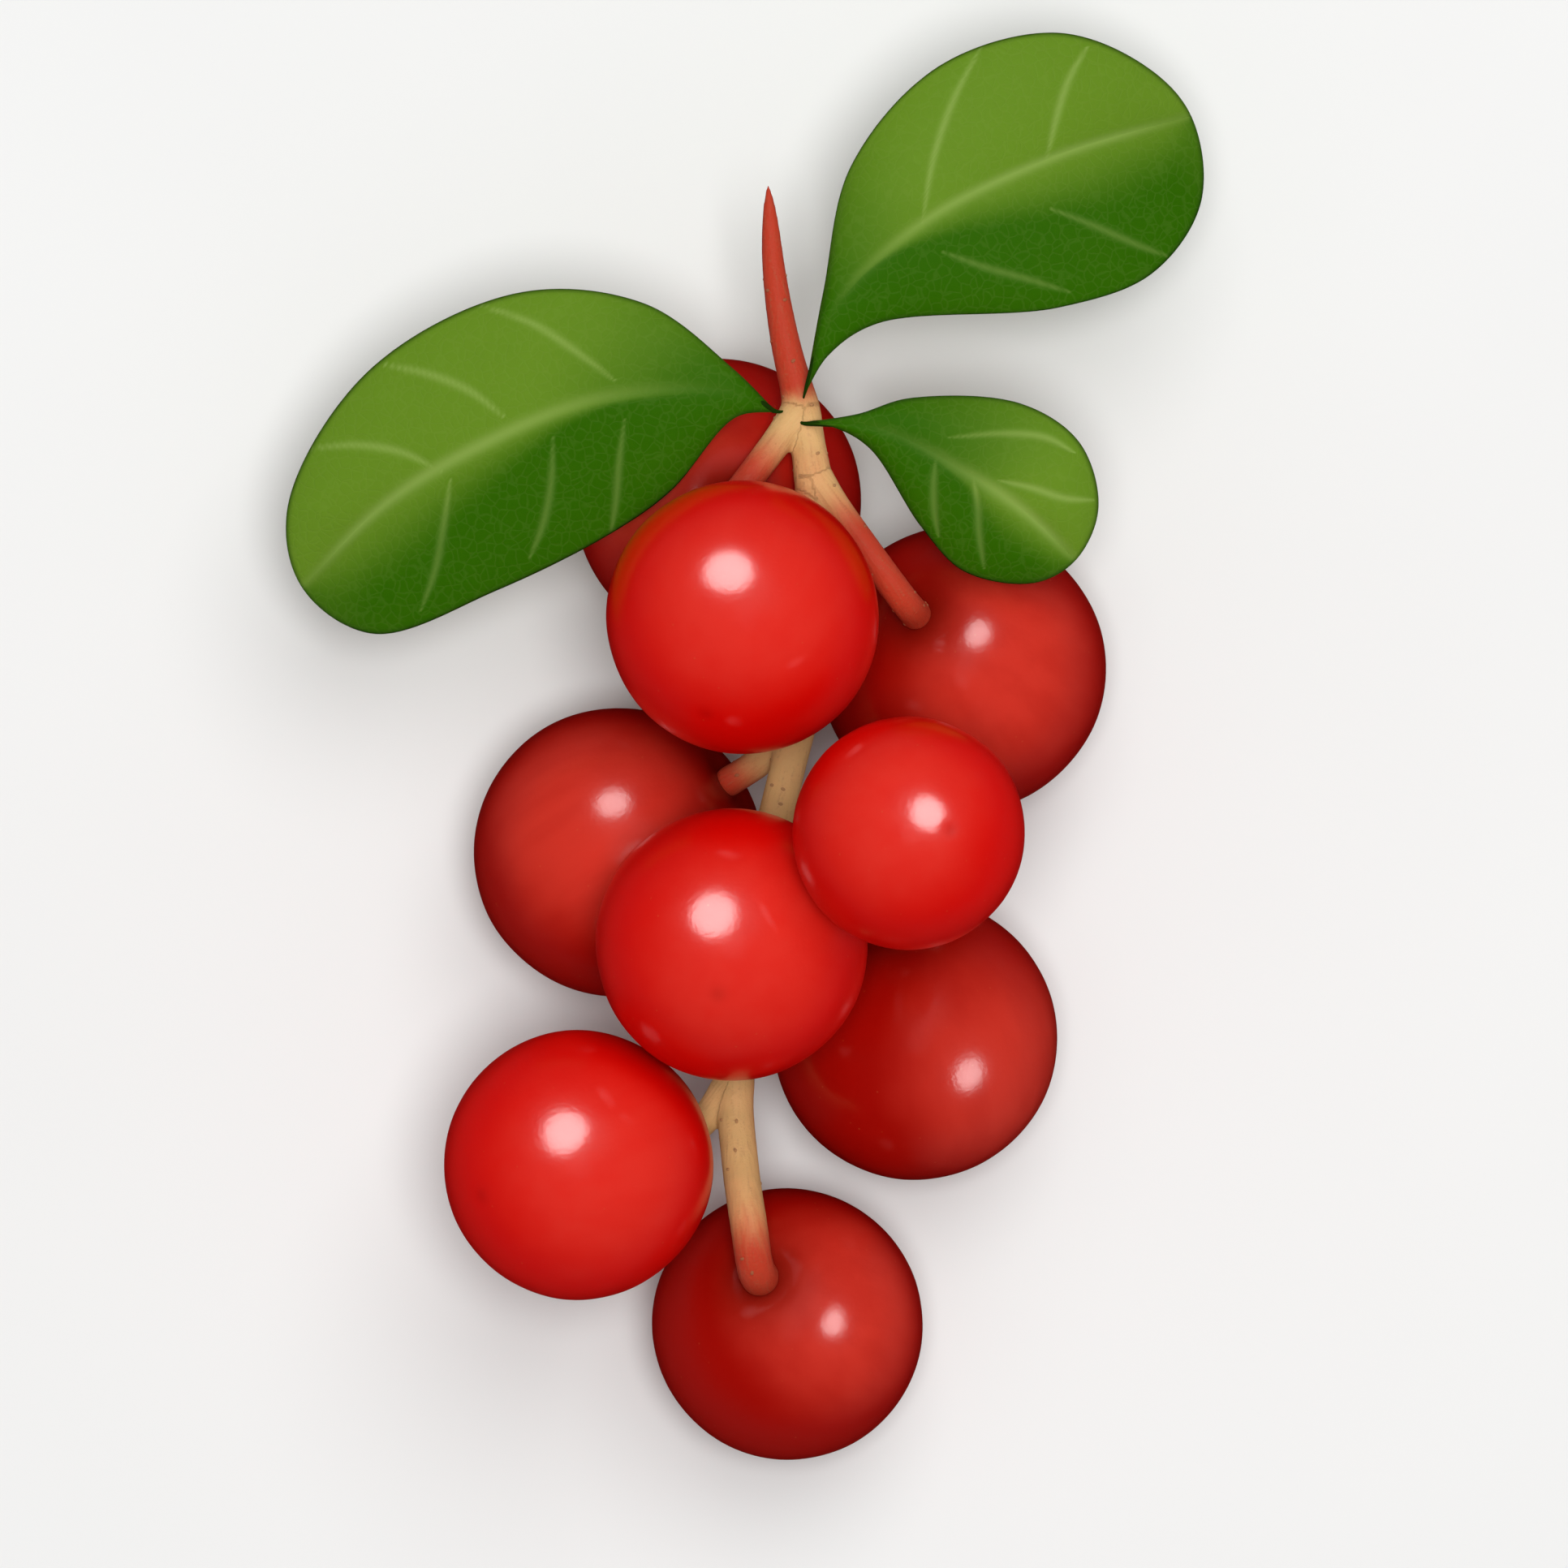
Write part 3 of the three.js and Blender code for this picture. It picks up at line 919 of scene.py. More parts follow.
@dataclass(frozen=True)
class StalkPlan:
    """The stalk's sizes in millimetres, and its route in fruit diameters."""

    route: tuple[RoutePoint, ...]
    sides: tuple[SideStalk, ...]
    last_fruit: str = "fruit_bottom"
    last_fruit_at: Plan = (0.15, -2.09)
    last_approach: float = 0.5
    fruit: float = 12.0
    thickness: float = 1.38
    swell: float = 0.12
    side_thickness: float = 1.2
    thinnest: float = 0.06
    tip_length: float = 10.0
    tip_shape: float = 0.5
    seat_gap: float = -0.25
    dimple_depth: float = 0.55
    fork_bulge: float = 0.1
    fork_bulge_reach: float = 0.9
    fork_flare: float = 0.3
    fork_flare_reach: float = 1.1
    seat_flare: float = 0.22
    seat_flare_reach: float = 0.6
    side_seat_flare_reach: float = 0.5
    end_bluntness: float = 0.03
    spacing: float = 0.15


@dataclass(frozen=True)
class StalkBlush:
    """Where the main stalk is red, in millimetres but for the tip's edge, a share of the tip."""

    tip_edge: Plan = (0.8, 1.12)
    seat_edge: Plan = (0.8, 5.8)
    fork: str = "second_fork"
    fork_strength: float = 0.35
    fork_reach: float = 1.3


@dataclass(frozen=True)
class StalkGrowth:
    """How the tubes grow into one skin, and how its grain is laid, in millimetres.

    Softening thins a tube by an amount that grows as the tube narrows, so each tube starts
    thicker by that much: a loss over the radius, at most a limit, and none at the sharp tip.
    """

    voxel: float = 0.1
    soften_factor: float = 0.5
    soften_steps: int = 14
    loss_by_radius: float = 0.035
    most_lost: float = 0.09
    sharp_radii: Plan = (0.05, 0.35)
    neighbours: int = 36
    blend_area: float = 0.3
    grain_across: float = 1.6
    grain_along: float = 0.28


class BranchedStalk:
    """Grows the main stalk and its side stalks together into one skin."""

    # How many sides a tube has, and how far its two ends stand out, as shares of their radii.
    TUBE_SIDES = 20
    START_CAP = 0.3
    END_CAP = 0.1

    def __init__(self, plan: StalkPlan, balls: dict[str, Ball]) -> None:
        """Works out where the plan lies in the frame.

        Args:
            plan: sizes and route.
            balls: every fruit's place.
        """
        self.plan = plan
        self.blush = StalkBlush()
        self.growth = StalkGrowth()
        self.balls = balls
        self.shift = self.plan_shift()
        self.forks = {point.fork: self.place(point.at) for point in plan.route if point.fork}

    def plan_shift(self) -> np.ndarray:
        """How far the plan's origin lies from the frame's, found from the last fruit.

        Returns:
            The shift in millimetres.
        """
        ball = self.balls[self.plan.last_fruit]
        planned = np.array([*self.plan.last_fruit_at, 0.0]) * self.plan.fruit
        return ball.centre - planned - np.array([0, 0, ball.radius])

    def place(self, at: Triple) -> np.ndarray:
        """A point of the route in the frame, in millimetres."""
        return np.array(at) * self.plan.fruit + self.shift

    def seat(self, fruit: str, thickness: float, approach: float) -> list[np.ndarray]:
        """Works out how a stalk ends in its fruit.

        Args:
            fruit: the fruit's node.
            thickness: the stalk's thickness.
            approach: how far outside the fruit it turns straight in, in its own thicknesses.

        Returns:
            The stalk's last two points: outside the fruit, then in the dimple's floor.
        """
        ball = self.balls[fruit]
        outside = ball.radius + approach * thickness
        floor = ball.radius - self.plan.dimple_depth + self.plan.seat_gap
        return [ball.centre + ball.stem * reach for reach in (outside, floor)]

    def main_shoot(self) -> Shoot:
        """Plans the main stalk, from its pointed tip to the last fruit.

        Returns:
            Its centre line, radii and redness.
        """
        plan, blush = self.plan, self.blush
        points = [self.place(point.at) for point in plan.route]
        points += self.seat(plan.last_fruit, plan.thickness, plan.last_approach)
        line = even_spline(np.array(points), plan.spacing)
        run = np.arange(len(line)) * plan.spacing
        left = run[-1] - run
        taper = np.minimum(1.0, (run / plan.tip_length) ** plan.tip_shape)
        radii = plan.thickness / 2 * taper * (1 + plan.swell * run / run[-1])
        for fork in self.forks.values():
            away = np.linalg.norm(line - fork, axis=1)
            radii = radii * (1 + plan.fork_bulge * hump(away, plan.fork_bulge_reach))
        radii = radii * (1 + plan.seat_flare * hump(left, plan.seat_flare_reach))
        radii = np.maximum(self.rounded(radii, left), plan.thinnest)
        from_tip = run / plan.tip_length
        from_fork = np.linalg.norm(line - self.forks[blush.fork], axis=1)
        redness = np.max([
            1 - ease(from_tip, *blush.tip_edge), 1 - ease(left, *blush.seat_edge),
            blush.fork_strength * hump(from_fork, blush.fork_reach)], axis=0)
        return Shoot(line, radii, redness)

    def rounded(self, radii: np.ndarray, left: np.ndarray) -> np.ndarray:
        """Radii that draw in to a round end over the last radius of the line."""
        into_end = np.clip(1 - left / np.maximum(radii, TINY), 0.0, 1.0)
        return radii * np.sqrt(np.maximum(1 - into_end**2, self.plan.end_bluntness))

    def side_shoot(self, side: SideStalk) -> Shoot:
        """Plans one side stalk, from its fork to its fruit.

        Args:
            side: its fork, its fruit and where it reddens.

        Returns:
            Its centre line, radii and redness.
        """
        plan = self.plan
        points = [self.forks[side.fork], *(self.place(at) for at in side.via)]
        points += self.seat(side.fruit, plan.side_thickness, side.approach)
        line = even_spline(np.array(points), plan.spacing)
        share = np.linspace(0, 1, len(line))
        run = share * (len(line) - 1) * plan.spacing
        left = run[-1] - run
        flare = plan.fork_flare * hump(run, plan.fork_flare_reach)
        flare = flare + plan.seat_flare * hump(left, plan.side_seat_flare_reach)
        radii = self.rounded(plan.side_thickness / 2 * (1 + flare), left)
        return Shoot(line, radii, ease(share, side.first_red, side.full_red))

    @classmethod
    def tube(cls, shoot: Shoot,
             sides: int = TUBE_SIDES) -> tuple[np.ndarray, list[tuple[int, ...]]]:
        """Makes a closed tube along a shoot, with blunt points on its ends.

        Args:
            shoot: the centre line and radii.
            sides: how many flat sides go round it.

        Returns:
            Its points and its faces.
        """
        line, count = shoot.line, len(shoot.line)
        ahead = unit(np.gradient(line, axis=0))
        across = np.cross(ahead[0], (0.0, 0.0, 1.0))
        rings = []
        turns = np.linspace(0, 2 * math.pi, sides, endpoint=False)
        for middle, tangent, radius in zip(line, ahead, shoot.radii):
            across = unit(across - tangent * (across @ tangent))
            upward = np.cross(tangent, across)
            ring = np.outer(np.cos(turns), across) + np.outer(np.sin(turns), upward)
            rings.append(middle + ring * radius)
        points = np.vstack([*rings, line[0] - ahead[0] * shoot.radii[0] * cls.START_CAP,
                            line[-1] + ahead[-1] * shoot.radii[-1] * cls.END_CAP])
        faces = []
        first, last = count * sides, count * sides + 1
        for side in range(sides):
            after = (side + 1) % sides
            faces.append((first, after, side))
            faces.append((last, (count - 1) * sides + side, (count - 1) * sides + after))
            for ring in range(0, (count - 1) * sides, sides):
                faces.append((ring + side, ring + after, ring + sides + after, ring + sides + side))
        return points, faces

    def fuse(self, shoots: list[Shoot]) -> bpy.types.Object:
        """Joins the shoots' tubes into one skin with soft forks.

        Args:
            shoots: the main stalk and its side stalks.

        Returns:
            The skin, still in millimetres.
        """
        growth = self.growth
        points, faces, offset = [], [], 0
        for shoot in shoots:
            spare = np.minimum(growth.loss_by_radius / shoot.radii, growth.most_lost)
            spare = spare * ease(shoot.radii, *growth.sharp_radii)
            tube_points, tube_faces = self.tube(Shoot(shoot.line, shoot.radii + spare, shoot.blush))
            points.append(tube_points)
            faces += [tuple(corner + offset for corner in face) for face in tube_faces]
            offset += len(tube_points)
        piece = new_piece("stalk_skin", np.vstack(points), faces)
        remesh = piece.modifiers.new("grow_together", "REMESH")
        remesh.mode = "VOXEL"
        remesh.voxel_size = growth.voxel
        remesh.use_smooth_shade = True
        smooth = piece.modifiers.new("soften", "SMOOTH")
        smooth.factor = growth.soften_factor
        smooth.iterations = growth.soften_steps
        bake_modifiers(piece)
        return piece

    def paint(self, piece: bpy.types.Object, shoots: list[Shoot]) -> None:
        """Stores redness and grain on the skin, read from the nearest centre lines.

        Args:
            piece: the skin, in millimetres.
            shoots: the centre lines that it was grown from.
        """
        growth = self.growth
        line = np.vstack([shoot.line for shoot in shoots])
        blush = np.concatenate([shoot.blush for shoot in shoots])
        run = np.concatenate([np.arange(len(shoot.line)) * self.plan.spacing for shoot in shoots])
        lookup = KDTree(len(line))
        for index, middle in enumerate(line):
            lookup.insert(middle, index)
        lookup.balance()
        points = vertices_of(piece)
        redness, grain = np.zeros(len(points)), np.zeros((len(points), 3))
        for number, point in enumerate(points):
            near = lookup.find_n(point, growth.neighbours)
            gaps = np.array([found[2] for found in near])
            weights = np.exp((gaps.min() ** 2 - gaps**2) / growth.blend_area)
            members = [found[1] for found in near]
            redness[number] = (blush[members] * weights).sum() / weights.sum()
            grain[number] = (point - line[members[0]]) * growth.grain_across
            grain[number, 2] += run[members[0]] * growth.grain_along
        write_attribute(piece, "blush", redness)
        write_attribute(piece, "bark_grain", grain)

    def build(self, bark: bpy.types.Material) -> bpy.types.Object:
        """Grows the whole stalk.

        Args:
            bark: its material.

        Returns:
            The finished stalk.
        """
        shoots = [self.main_shoot(), *(self.side_shoot(side) for side in self.plan.sides)]
        piece = self.fuse(shoots)
        self.paint(piece, shoots)
        piece.data.transform(Matrix.Scale(MM, 4))
        CorkPores().scatter(piece, bark)
        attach(piece, BODY)
        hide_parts("stalk")
        return piece


@dataclass(frozen=True)
class CorkPores:
    """Small raised corky pores on the bark, in millimetres."""

    size: float = 0.075
    shape: Triple = (1.0, 1.5, 0.5)
    per_square_mm: float = 0.28
    roundness: int = 2
    seed: int = 7

    def scatter(self, piece: bpy.types.Object, bark: bpy.types.Material) -> None:
        """Scatters pores over a stalk with a geometry tree.

        Args:
            piece: the stalk, which gains the pores.
            bark: the material of both.
        """
        tree = GeometryTree("cork_pores")
        density = tree.input("Density")
        size = tree.input("Size")
        seed = tree.input("Seed", "NodeSocketInt")
        skin = tree.input("Bark", "NodeSocketMaterial")
        stalk = tree.store(tree.entry.outputs["Geometry"], "cork", 0.0)
        scattered = tree.add("GeometryNodeDistributePointsOnFaces", {
            "Mesh": stalk, "Density": density, "Seed": seed})
        pore = tree.add("GeometryNodeMeshIcoSphere", {
            "Radius": 1.0, "Subdivisions": self.roundness}).outputs[0]
        pore = tree.store(pore, "cork", 1.0)
        flat = tree.vector("SCALE", self.shape, size)
        placed = tree.add("GeometryNodeInstanceOnPoints", {
            "Points": scattered.outputs["Points"], "Instance": pore,
            "Rotation": scattered.outputs["Rotation"], "Scale": flat}).outputs[0]
        joined = tree.add("GeometryNodeJoinGeometry")
        tree.feed(joined.inputs[0], placed)
        tree.feed(joined.inputs[0], stalk)
        smooth = tree.add("GeometryNodeSetShadeSmooth", {"Geometry": joined.outputs[0]}).outputs[0]
        tree.end(smooth, skin)
        tree.run(piece, {"Density": self.per_square_mm / MM**2, "Size": self.size * MM,
                         "Seed": self.seed, "Bark": bark})


# ---------------------------------------------------------------- leaves
class Side(Enum):
    """A side of the midrib, looking from the foot to the apex."""

    LEFT = 1
    RIGHT = -1


@dataclass(frozen=True)
class LeafPlan:
    """One leaf from above. Outline points are shares of its length and width from its foot."""

    node: str
    fork: str
    foot: Plan
    heading: float
    length: float
    width: float
    rib: tuple[Plan, ...]
    left: tuple[Plan, ...]
    right: tuple[Plan, ...]
    veins: tuple[tuple[Plan, ...], ...]
    # The half on this side is painted light, the other half gets painted shade, and the green is
    # darker at the foot.
    light_side: Side
    crest: float
    droop: float
    over: str = ""
    arch: float = 0.0
    dark_foot: Plan = (0.2, 0.56)


@dataclass(frozen=True)
class LeafShape:
    """Sizes that every leaf shares, in millimetres.

    Spans are shares of the leaf's length, from where a change starts to where it is complete.
    """

    cad_thickness: float = 0.45
    gap: float = 0.3
    fold: float = 0.2
    crease: float = 0.5
    thickness: float = 0.3
    margin_sharpness: int = 10
    keel: float = 0.28
    keel_width: float = 0.32
    keel_span: Plan = (0.0, 0.08)
    keel_taper: float = 0.7
    roll: float = 0.3
    roll_sharpness: int = 6
    puff: float = 0.16
    wave: float = 0.1
    waves_along: float = 9.0
    waves_across: float = 2.2
    full_half: float = 0.35
    groove: float = 0.05
    foot_sink: float = 0.62
    foot_sink_length: float = 0.14
    foot_blunt: float = 0.03
    apex_blunt: float = 0.02
    upright_span: Plan = (0.08, 0.2)
    slim_reach: float = 0.6
    slimmest: float = 0.25
    rib_width: float = 0.3
    rib_span: Plan = (0.08, 0.65)
    rib_fade: float = 0.6
    rib_fade_span: Plan = (0.85, 1.0)
    vein_width: float = 0.17
    vein_end: float = 0.25
    vein_belly: float = 0.7
    vein_relief: float = 0.09
    vein_sharpness: int = 4
    rim_width: float = 0.13
    rows: int = 210
    columns: int = 56


@dataclass(frozen=True)
class LeafShade:
    """How the painted shade on the half away from the light spreads from the midrib. Widths are
    shares of the half leaf.
    """

    foot_lean: float = 0.1
    edge_at_foot: float = 0.1
    edge_widening: float = 0.75
    widening_span: Plan = (0.35, 1.0)
    past_rib: float = -0.1
    apex_light: float = 0.35
    apex_span: Plan = (0.8, 1.0)


@dataclass(frozen=True)
class Petiole:
    """A leaf's own stalk, in millimetres. Shares run from inside its fork to its far end."""

    thin: float = 0.03
    thicker: float = 0.12
    thick_span: Plan = (0.0, 0.55)
    thin_span: Plan = (0.7, 1.0)
    start: Triple = (0.35, 0.35, 0.3)
    foot_drop: float = 0.05
    rib_drop: float = 0.16
    reach: Plan = (0.07, 0.2)
    spacing: float = 0.15
    sides: int = 14


class LeafBlade:
    """Grows one leaf: a folded, rolled blade with veins, on a short stalk of its own."""

    # A side vein is walked in so many steps, and smoothed through every so many of them.
    TRACK_STEPS = 40
    TRACK_STRIDE = 13

    def __init__(self, plan: LeafPlan, shape: LeafShape, stalk: BranchedStalk) -> None:
        """Works out the leaf's foot and its height profile.

        Args:
            plan: the leaf's own sizes.
            shape: sizes that every leaf shares.
            stalk: the stalk that it grows from.
        """
        self.plan, self.shape, self.stalk = plan, shape, stalk
        sizes = stalk.plan
        thickest = max(sizes.thickness * (1 + sizes.swell), sizes.side_thickness)
        rise = thickest / 2 + shape.gap + shape.cad_thickness
        self.fork = stalk.forks[plan.fork]
        self.foot = self.fork + np.array([*plan.foot, 0.0]) * sizes.fruit + np.array([0, 0, rise])
        self.arch = plan.arch
        if plan.over:
            ball = stalk.balls[plan.over]
            fall = shape.fold * plan.width / 2
            clear = ball.centre[2] + ball.radius + shape.gap + shape.cad_thickness + fall
            self.arch = clear - self.foot[2]

    def in_plan(self, points: tuple[Plan, ...]) -> np.ndarray:
        """Outline points in millimetres from the foot, before the leaf is turned."""
        return np.array(points) * (self.plan.length, self.plan.width)

    def rib_height(self, share: np.ndarray) -> np.ndarray:
        """Height of the midrib above the foot.

        Args:
            share: how far along the leaf, from 0 to 1.

        Returns:
            The height at each place, in millimetres.
        """
        shape, crest = self.shape, self.plan.crest
        climb = self.arch * np.sin(math.pi / 2 * np.minimum(share / crest, 1.0))
        sag = self.plan.droop * (np.maximum(share - crest, 0.0) / (1 - crest)) ** 2
        sink = shape.foot_sink * np.maximum(1 - share / shape.foot_sink_length, 0.0) ** 2
        return climb - sag - sink

    def grid(self) -> dict[str, np.ndarray]:
        """Flat places and masks for every point of the blade's upper face.

        Returns:
            Arrays of rows by columns: place in plan, distance from the midrib, and the shares
            along (u) and across (v) the leaf.
        """
        plan, shape = self.plan, self.shape
        shares = np.linspace(0, 1, shape.rows + 1)
        rib = spline(self.in_plan(((0, 0), *plan.rib, (1, 0))), shares)
        loop = ((0, 0), *plan.left, (1, 0), *reversed(plan.right), (0, 0))
        apex_at = (len(plan.left) + 1) / (len(loop) - 1)
        left = spline(self.in_plan(loop), shares * apex_at)
        right = spline(self.in_plan(loop), 1 - shares * (1 - apex_at))
        across = np.linspace(-1, 1, 2 * shape.columns + 1)
        edge = np.where(across[None, :, None] < 0, right[:, None, :], left[:, None, :])
        flat = rib[:, None, :] + (edge - rib[:, None, :]) * np.abs(across)[None, :, None]
        away = np.linalg.norm(flat - rib[:, None, :], axis=2)
        u = np.repeat(shares[:, None], len(across), axis=1)
        v = np.repeat(across[None, :], len(shares), axis=0)
        return {"flat": flat, "away": away, "u": u, "v": v}

    def side_veins(self, grid: dict[str, np.ndarray]) -> np.ndarray:
        """How strongly a side vein shows at each point of the grid.

        Args:
            grid: the blade's places and masks.

        Returns:
            1 on a side vein, fading to 0 beside it.
        """
        shape = self.shape
        steps = np.linspace(0, 1, self.TRACK_STEPS)
        strength = np.zeros(grid["u"].shape)
        for vein in self.plan.veins:
            track = spline(np.array(vein), steps)
            rows = np.clip(track[:, 0] * shape.rows, 0, shape.rows)
            columns = (track[:, 1] + 1) * shape.columns
            line = grid["flat"][rows.round().astype(int), columns.round().astype(int)]
            line = spline(line[::self.TRACK_STRIDE], steps)
            gaps = np.linalg.norm(grid["flat"][:, :, None, :] - line[None, None], axis=3)
            share = gaps.argmin(axis=2) / (len(line) - 1)
            belly = np.sin(math.pi * share) ** shape.vein_belly
            width = shape.vein_width * (shape.vein_end + (1 - shape.vein_end) * belly)
            strength = np.maximum(strength, hump(gaps.min(axis=2), width))
        return strength

    def midrib(self, grid: dict[str, np.ndarray]) -> np.ndarray:
        """How strongly the midrib shows at each point of the grid.

        Args:
            grid: the blade's places and masks.

        Returns:
            1 on the midrib where it is full, fading beside it, at the foot and at the apex.
        """
        shape, u = self.shape, grid["u"]
        strength = hump(grid["away"], shape.rib_width) * ease(u, *shape.rib_span)
        return strength * (1 - shape.rib_fade * ease(u, *shape.rib_fade_span))

    def shade(self, grid: dict[str, np.ndarray]) -> np.ndarray:
        """Painted shade on the half away from the light, with darker green at the foot.

        Args:
            grid: the blade's places and masks.

        Returns:
            0 where the green is light and 1 where it is darkest.
        """
        look = LeafShade()
        u, v = grid["u"], grid["v"] * self.plan.light_side.value
        foot = 1 - ease(u + look.foot_lean * v, *self.plan.dark_foot)
        width = look.edge_at_foot + look.edge_widening * ease(u, *look.widening_span)
        dark_half = ease(-v / width, look.past_rib, 1.0)
        return np.maximum(foot, dark_half * (1 - look.apex_light * ease(u, *look.apex_span)))

    def rim(self, grid: dict[str, np.ndarray]) -> np.ndarray:
        """How strongly the margin's dark line shows at each point of the grid.

        Args:
            grid: the blade's places and masks.

        Returns:
            1 at the margin, fading inwards.
        """
        flat = grid["flat"]
        edge = np.where(grid["v"][..., None] < 0, flat[:, :1], flat[:, -1:])
        return hump(np.linalg.norm(flat - edge, axis=2), self.shape.rim_width)

    def build(self, skin: bpy.types.Material) -> bpy.types.Object:
        """Grows the leaf.

        Args:
            skin: its material.

        Returns:
            The finished leaf.
        """
        grid = self.grid()
        vein = np.maximum(self.side_veins(grid), self.midrib(grid))
        upper = self.upper_face(grid, vein)
        lower = self.lower_face(grid, vein, upper)
        masks = {"vein": vein, "shade": self.shade(grid), "rim": self.rim(grid)}
        piece = self.assemble(upper, lower, masks)
        piece.data.materials.append(skin)
        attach(piece, BODY)
        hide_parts(self.plan.node)
        return piece

    def upper_face(self, grid: dict[str, np.ndarray], vein: np.ndarray) -> np.ndarray:
        """Shapes the upper face: folded along the midrib, rolled at the margin, puffed.

        Args:
            grid: the blade's places and masks.
            vein: how strongly a vein shows, which sinks the face a little.

        Returns:
            The face's points in the frame, in millimetres.
        """
        shape, plan = self.shape, self.plan
        u, v, away = grid["u"], grid["v"], grid["away"]
        spread = np.abs(v)
        fall = shape.fold * (np.sqrt(away**2 + shape.crease**2) - shape.crease)
        half = away / np.maximum(spread, TINY)
        full = np.clip(half / (plan.width * shape.full_half), 0, 1)
        fall = fall + shape.roll * spread**shape.roll_sharpness * full
        puff = shape.puff * np.sin(math.pi * spread) * full
        ripple = np.sin(shape.waves_along * u + shape.waves_across * v)
        wave = shape.wave * ripple * spread**2 * full
        height = self.rib_height(u) - fall + puff + wave - shape.groove * vein
        turn = math.radians(plan.heading)
        turning = np.array([[math.cos(turn), math.sin(turn)], [-math.sin(turn), math.cos(turn)]])
        return np.concatenate([grid["flat"] @ turning, height[..., None]], axis=2) + self.foot

    def lower_face(self, grid: dict[str, np.ndarray], vein: np.ndarray,
                   upper: np.ndarray) -> np.ndarray:
        """Shapes the underside: a blade's thickness below, with veins and a keel standing out.

        Args:
            grid: the blade's places and masks.
            vein: how strongly a vein shows.
            upper: the upper face.

        Returns:
            The face's points in the frame, in millimetres.
        """
        shape = self.shape
        u, v, away = grid["u"], grid["v"], grid["away"]
        spread = np.abs(v)
        normal = np.cross(np.gradient(upper, axis=0), np.gradient(upper, axis=1))
        normal = normal / np.maximum(np.linalg.norm(normal, axis=2, keepdims=True), TINY)
        normal = np.where(normal[..., 2:] < 0, -normal, normal)
        steady = ease(u, *shape.upright_span)[..., None]
        normal = unit(normal * steady + np.array([0.0, 0.0, 1.0]) * (1 - steady))
        body = shape.thickness * np.sqrt(1 - spread**shape.margin_sharpness)
        body = body * np.sqrt(np.clip((1 - u) / shape.apex_blunt, 0, 1))
        keel = shape.keel * hump(away, shape.keel_width) * ease(u, *shape.keel_span)
        keel = keel * (1 - u) ** shape.keel_taper
        raised = shape.vein_relief * vein * (1 - spread**shape.vein_sharpness)
        reach = np.minimum(away[:, :1], away[:, -1:])
        slim = np.clip(reach / shape.slim_reach, shape.slimmest, 1.0)
        slim = slim * np.sqrt(np.clip(u / shape.foot_blunt, 0, 1))
        depth = (body + keel + raised) * (spread < 1) * slim
        return upper - normal * depth[..., None]

    def assemble(self, upper: np.ndarray, lower: np.ndarray,
                 masks: dict[str, np.ndarray]) -> bpy.types.Object:
        """Joins the faces at the margin into one closed blade and adds the leaf's own stalk.

        Args:
            upper: the upper face's points.
            lower: the underside's points.
            masks: what the material reads from each point of both faces.

        Returns:
            The leaf, in metres.
        """
        rows, columns = upper.shape[0], upper.shape[1]
        top = np.arange(rows * columns).reshape(rows, columns)
        inner = np.zeros((rows, columns), bool)
        inner[1:-1, 1:-1] = True
        bottom = top.copy()
        bottom[inner] = rows * columns + np.arange(inner.sum())
        points = np.vstack([upper.reshape(-1, 3), lower[inner]])
        faces = []
        for numbers, flip in ((top, False), (bottom, True)):
            a, b = numbers[:-1, :-1].ravel(), numbers[1:, :-1].ravel()
            c, d = numbers[1:, 1:].ravel(), numbers[:-1, 1:].ravel()
            quads = np.stack([a, d, c, b] if flip else [a, b, c, d], axis=1)
            faces += [tuple(quad) for quad in quads.tolist()]
        foot_points, foot_faces = self.petiole(upper)
        faces += [tuple(corner + len(points) for corner in face) for face in foot_faces]
        on_blade, on_foot = np.zeros(len(points)), np.zeros(len(foot_points))
        values = {name: np.concatenate([mask.ravel(), mask[inner], on_foot])
                  for name, mask in masks.items()}
        is_under = np.arange(len(points)) >= rows * columns
        values["under"] = np.concatenate([is_under.astype(float), on_foot])
        values["petiole"] = np.concatenate([on_blade, on_foot + 1.0])
        piece = new_piece(f"{self.plan.node}_blade", np.vstack([points, foot_points]) * MM, faces)
        for name, value in values.items():
            write_attribute(piece, name, value)
        merge_doubles(piece)
        return piece

    def petiole(self, upper: np.ndarray) -> tuple[np.ndarray, list[tuple[int, ...]]]:
        """Makes the leaf's own short stalk, from inside its fork to under its midrib.

        Args:
            upper: the upper face's points.

        Returns:
            Its points and its faces.
        """
        size = Petiole()
        middle = upper[:, upper.shape[1] // 2]
        base = middle[0] - np.array([0, 0, size.foot_drop])
        start = self.fork + (base - self.fork) * np.array(size.start)
        rib = [middle[int(reach * self.shape.rows)] - np.array([0, 0, size.rib_drop])
               for reach in size.reach]
        line = even_spline(np.array([start, base, *rib]), size.spacing)
        share = np.linspace(0, 1, len(line))
        fullness = ease(share, *size.thick_span) * (1 - ease(share, *size.thin_span))
        radii = size.thin + size.thicker * fullness
        return BranchedStalk.tube(Shoot(line, radii, share), size.sides)


def merge_doubles(piece: bpy.types.Object) -> None:
    """Merges points that coincide, so that poles and seams are closed.

    Args:
        piece: the mesh object, in metres.
    """
    shell = bmesh.new()
    shell.from_mesh(piece.data)
    bmesh.ops.remove_doubles(shell, verts=shell.verts, dist=SAME_POINT)
    bmesh.ops.dissolve_degenerate(shell, edges=shell.edges, dist=NO_EDGE)
    bmesh.ops.recalc_face_normals(shell, faces=shell.faces)
    shell.to_mesh(piece.data)
    shell.free()


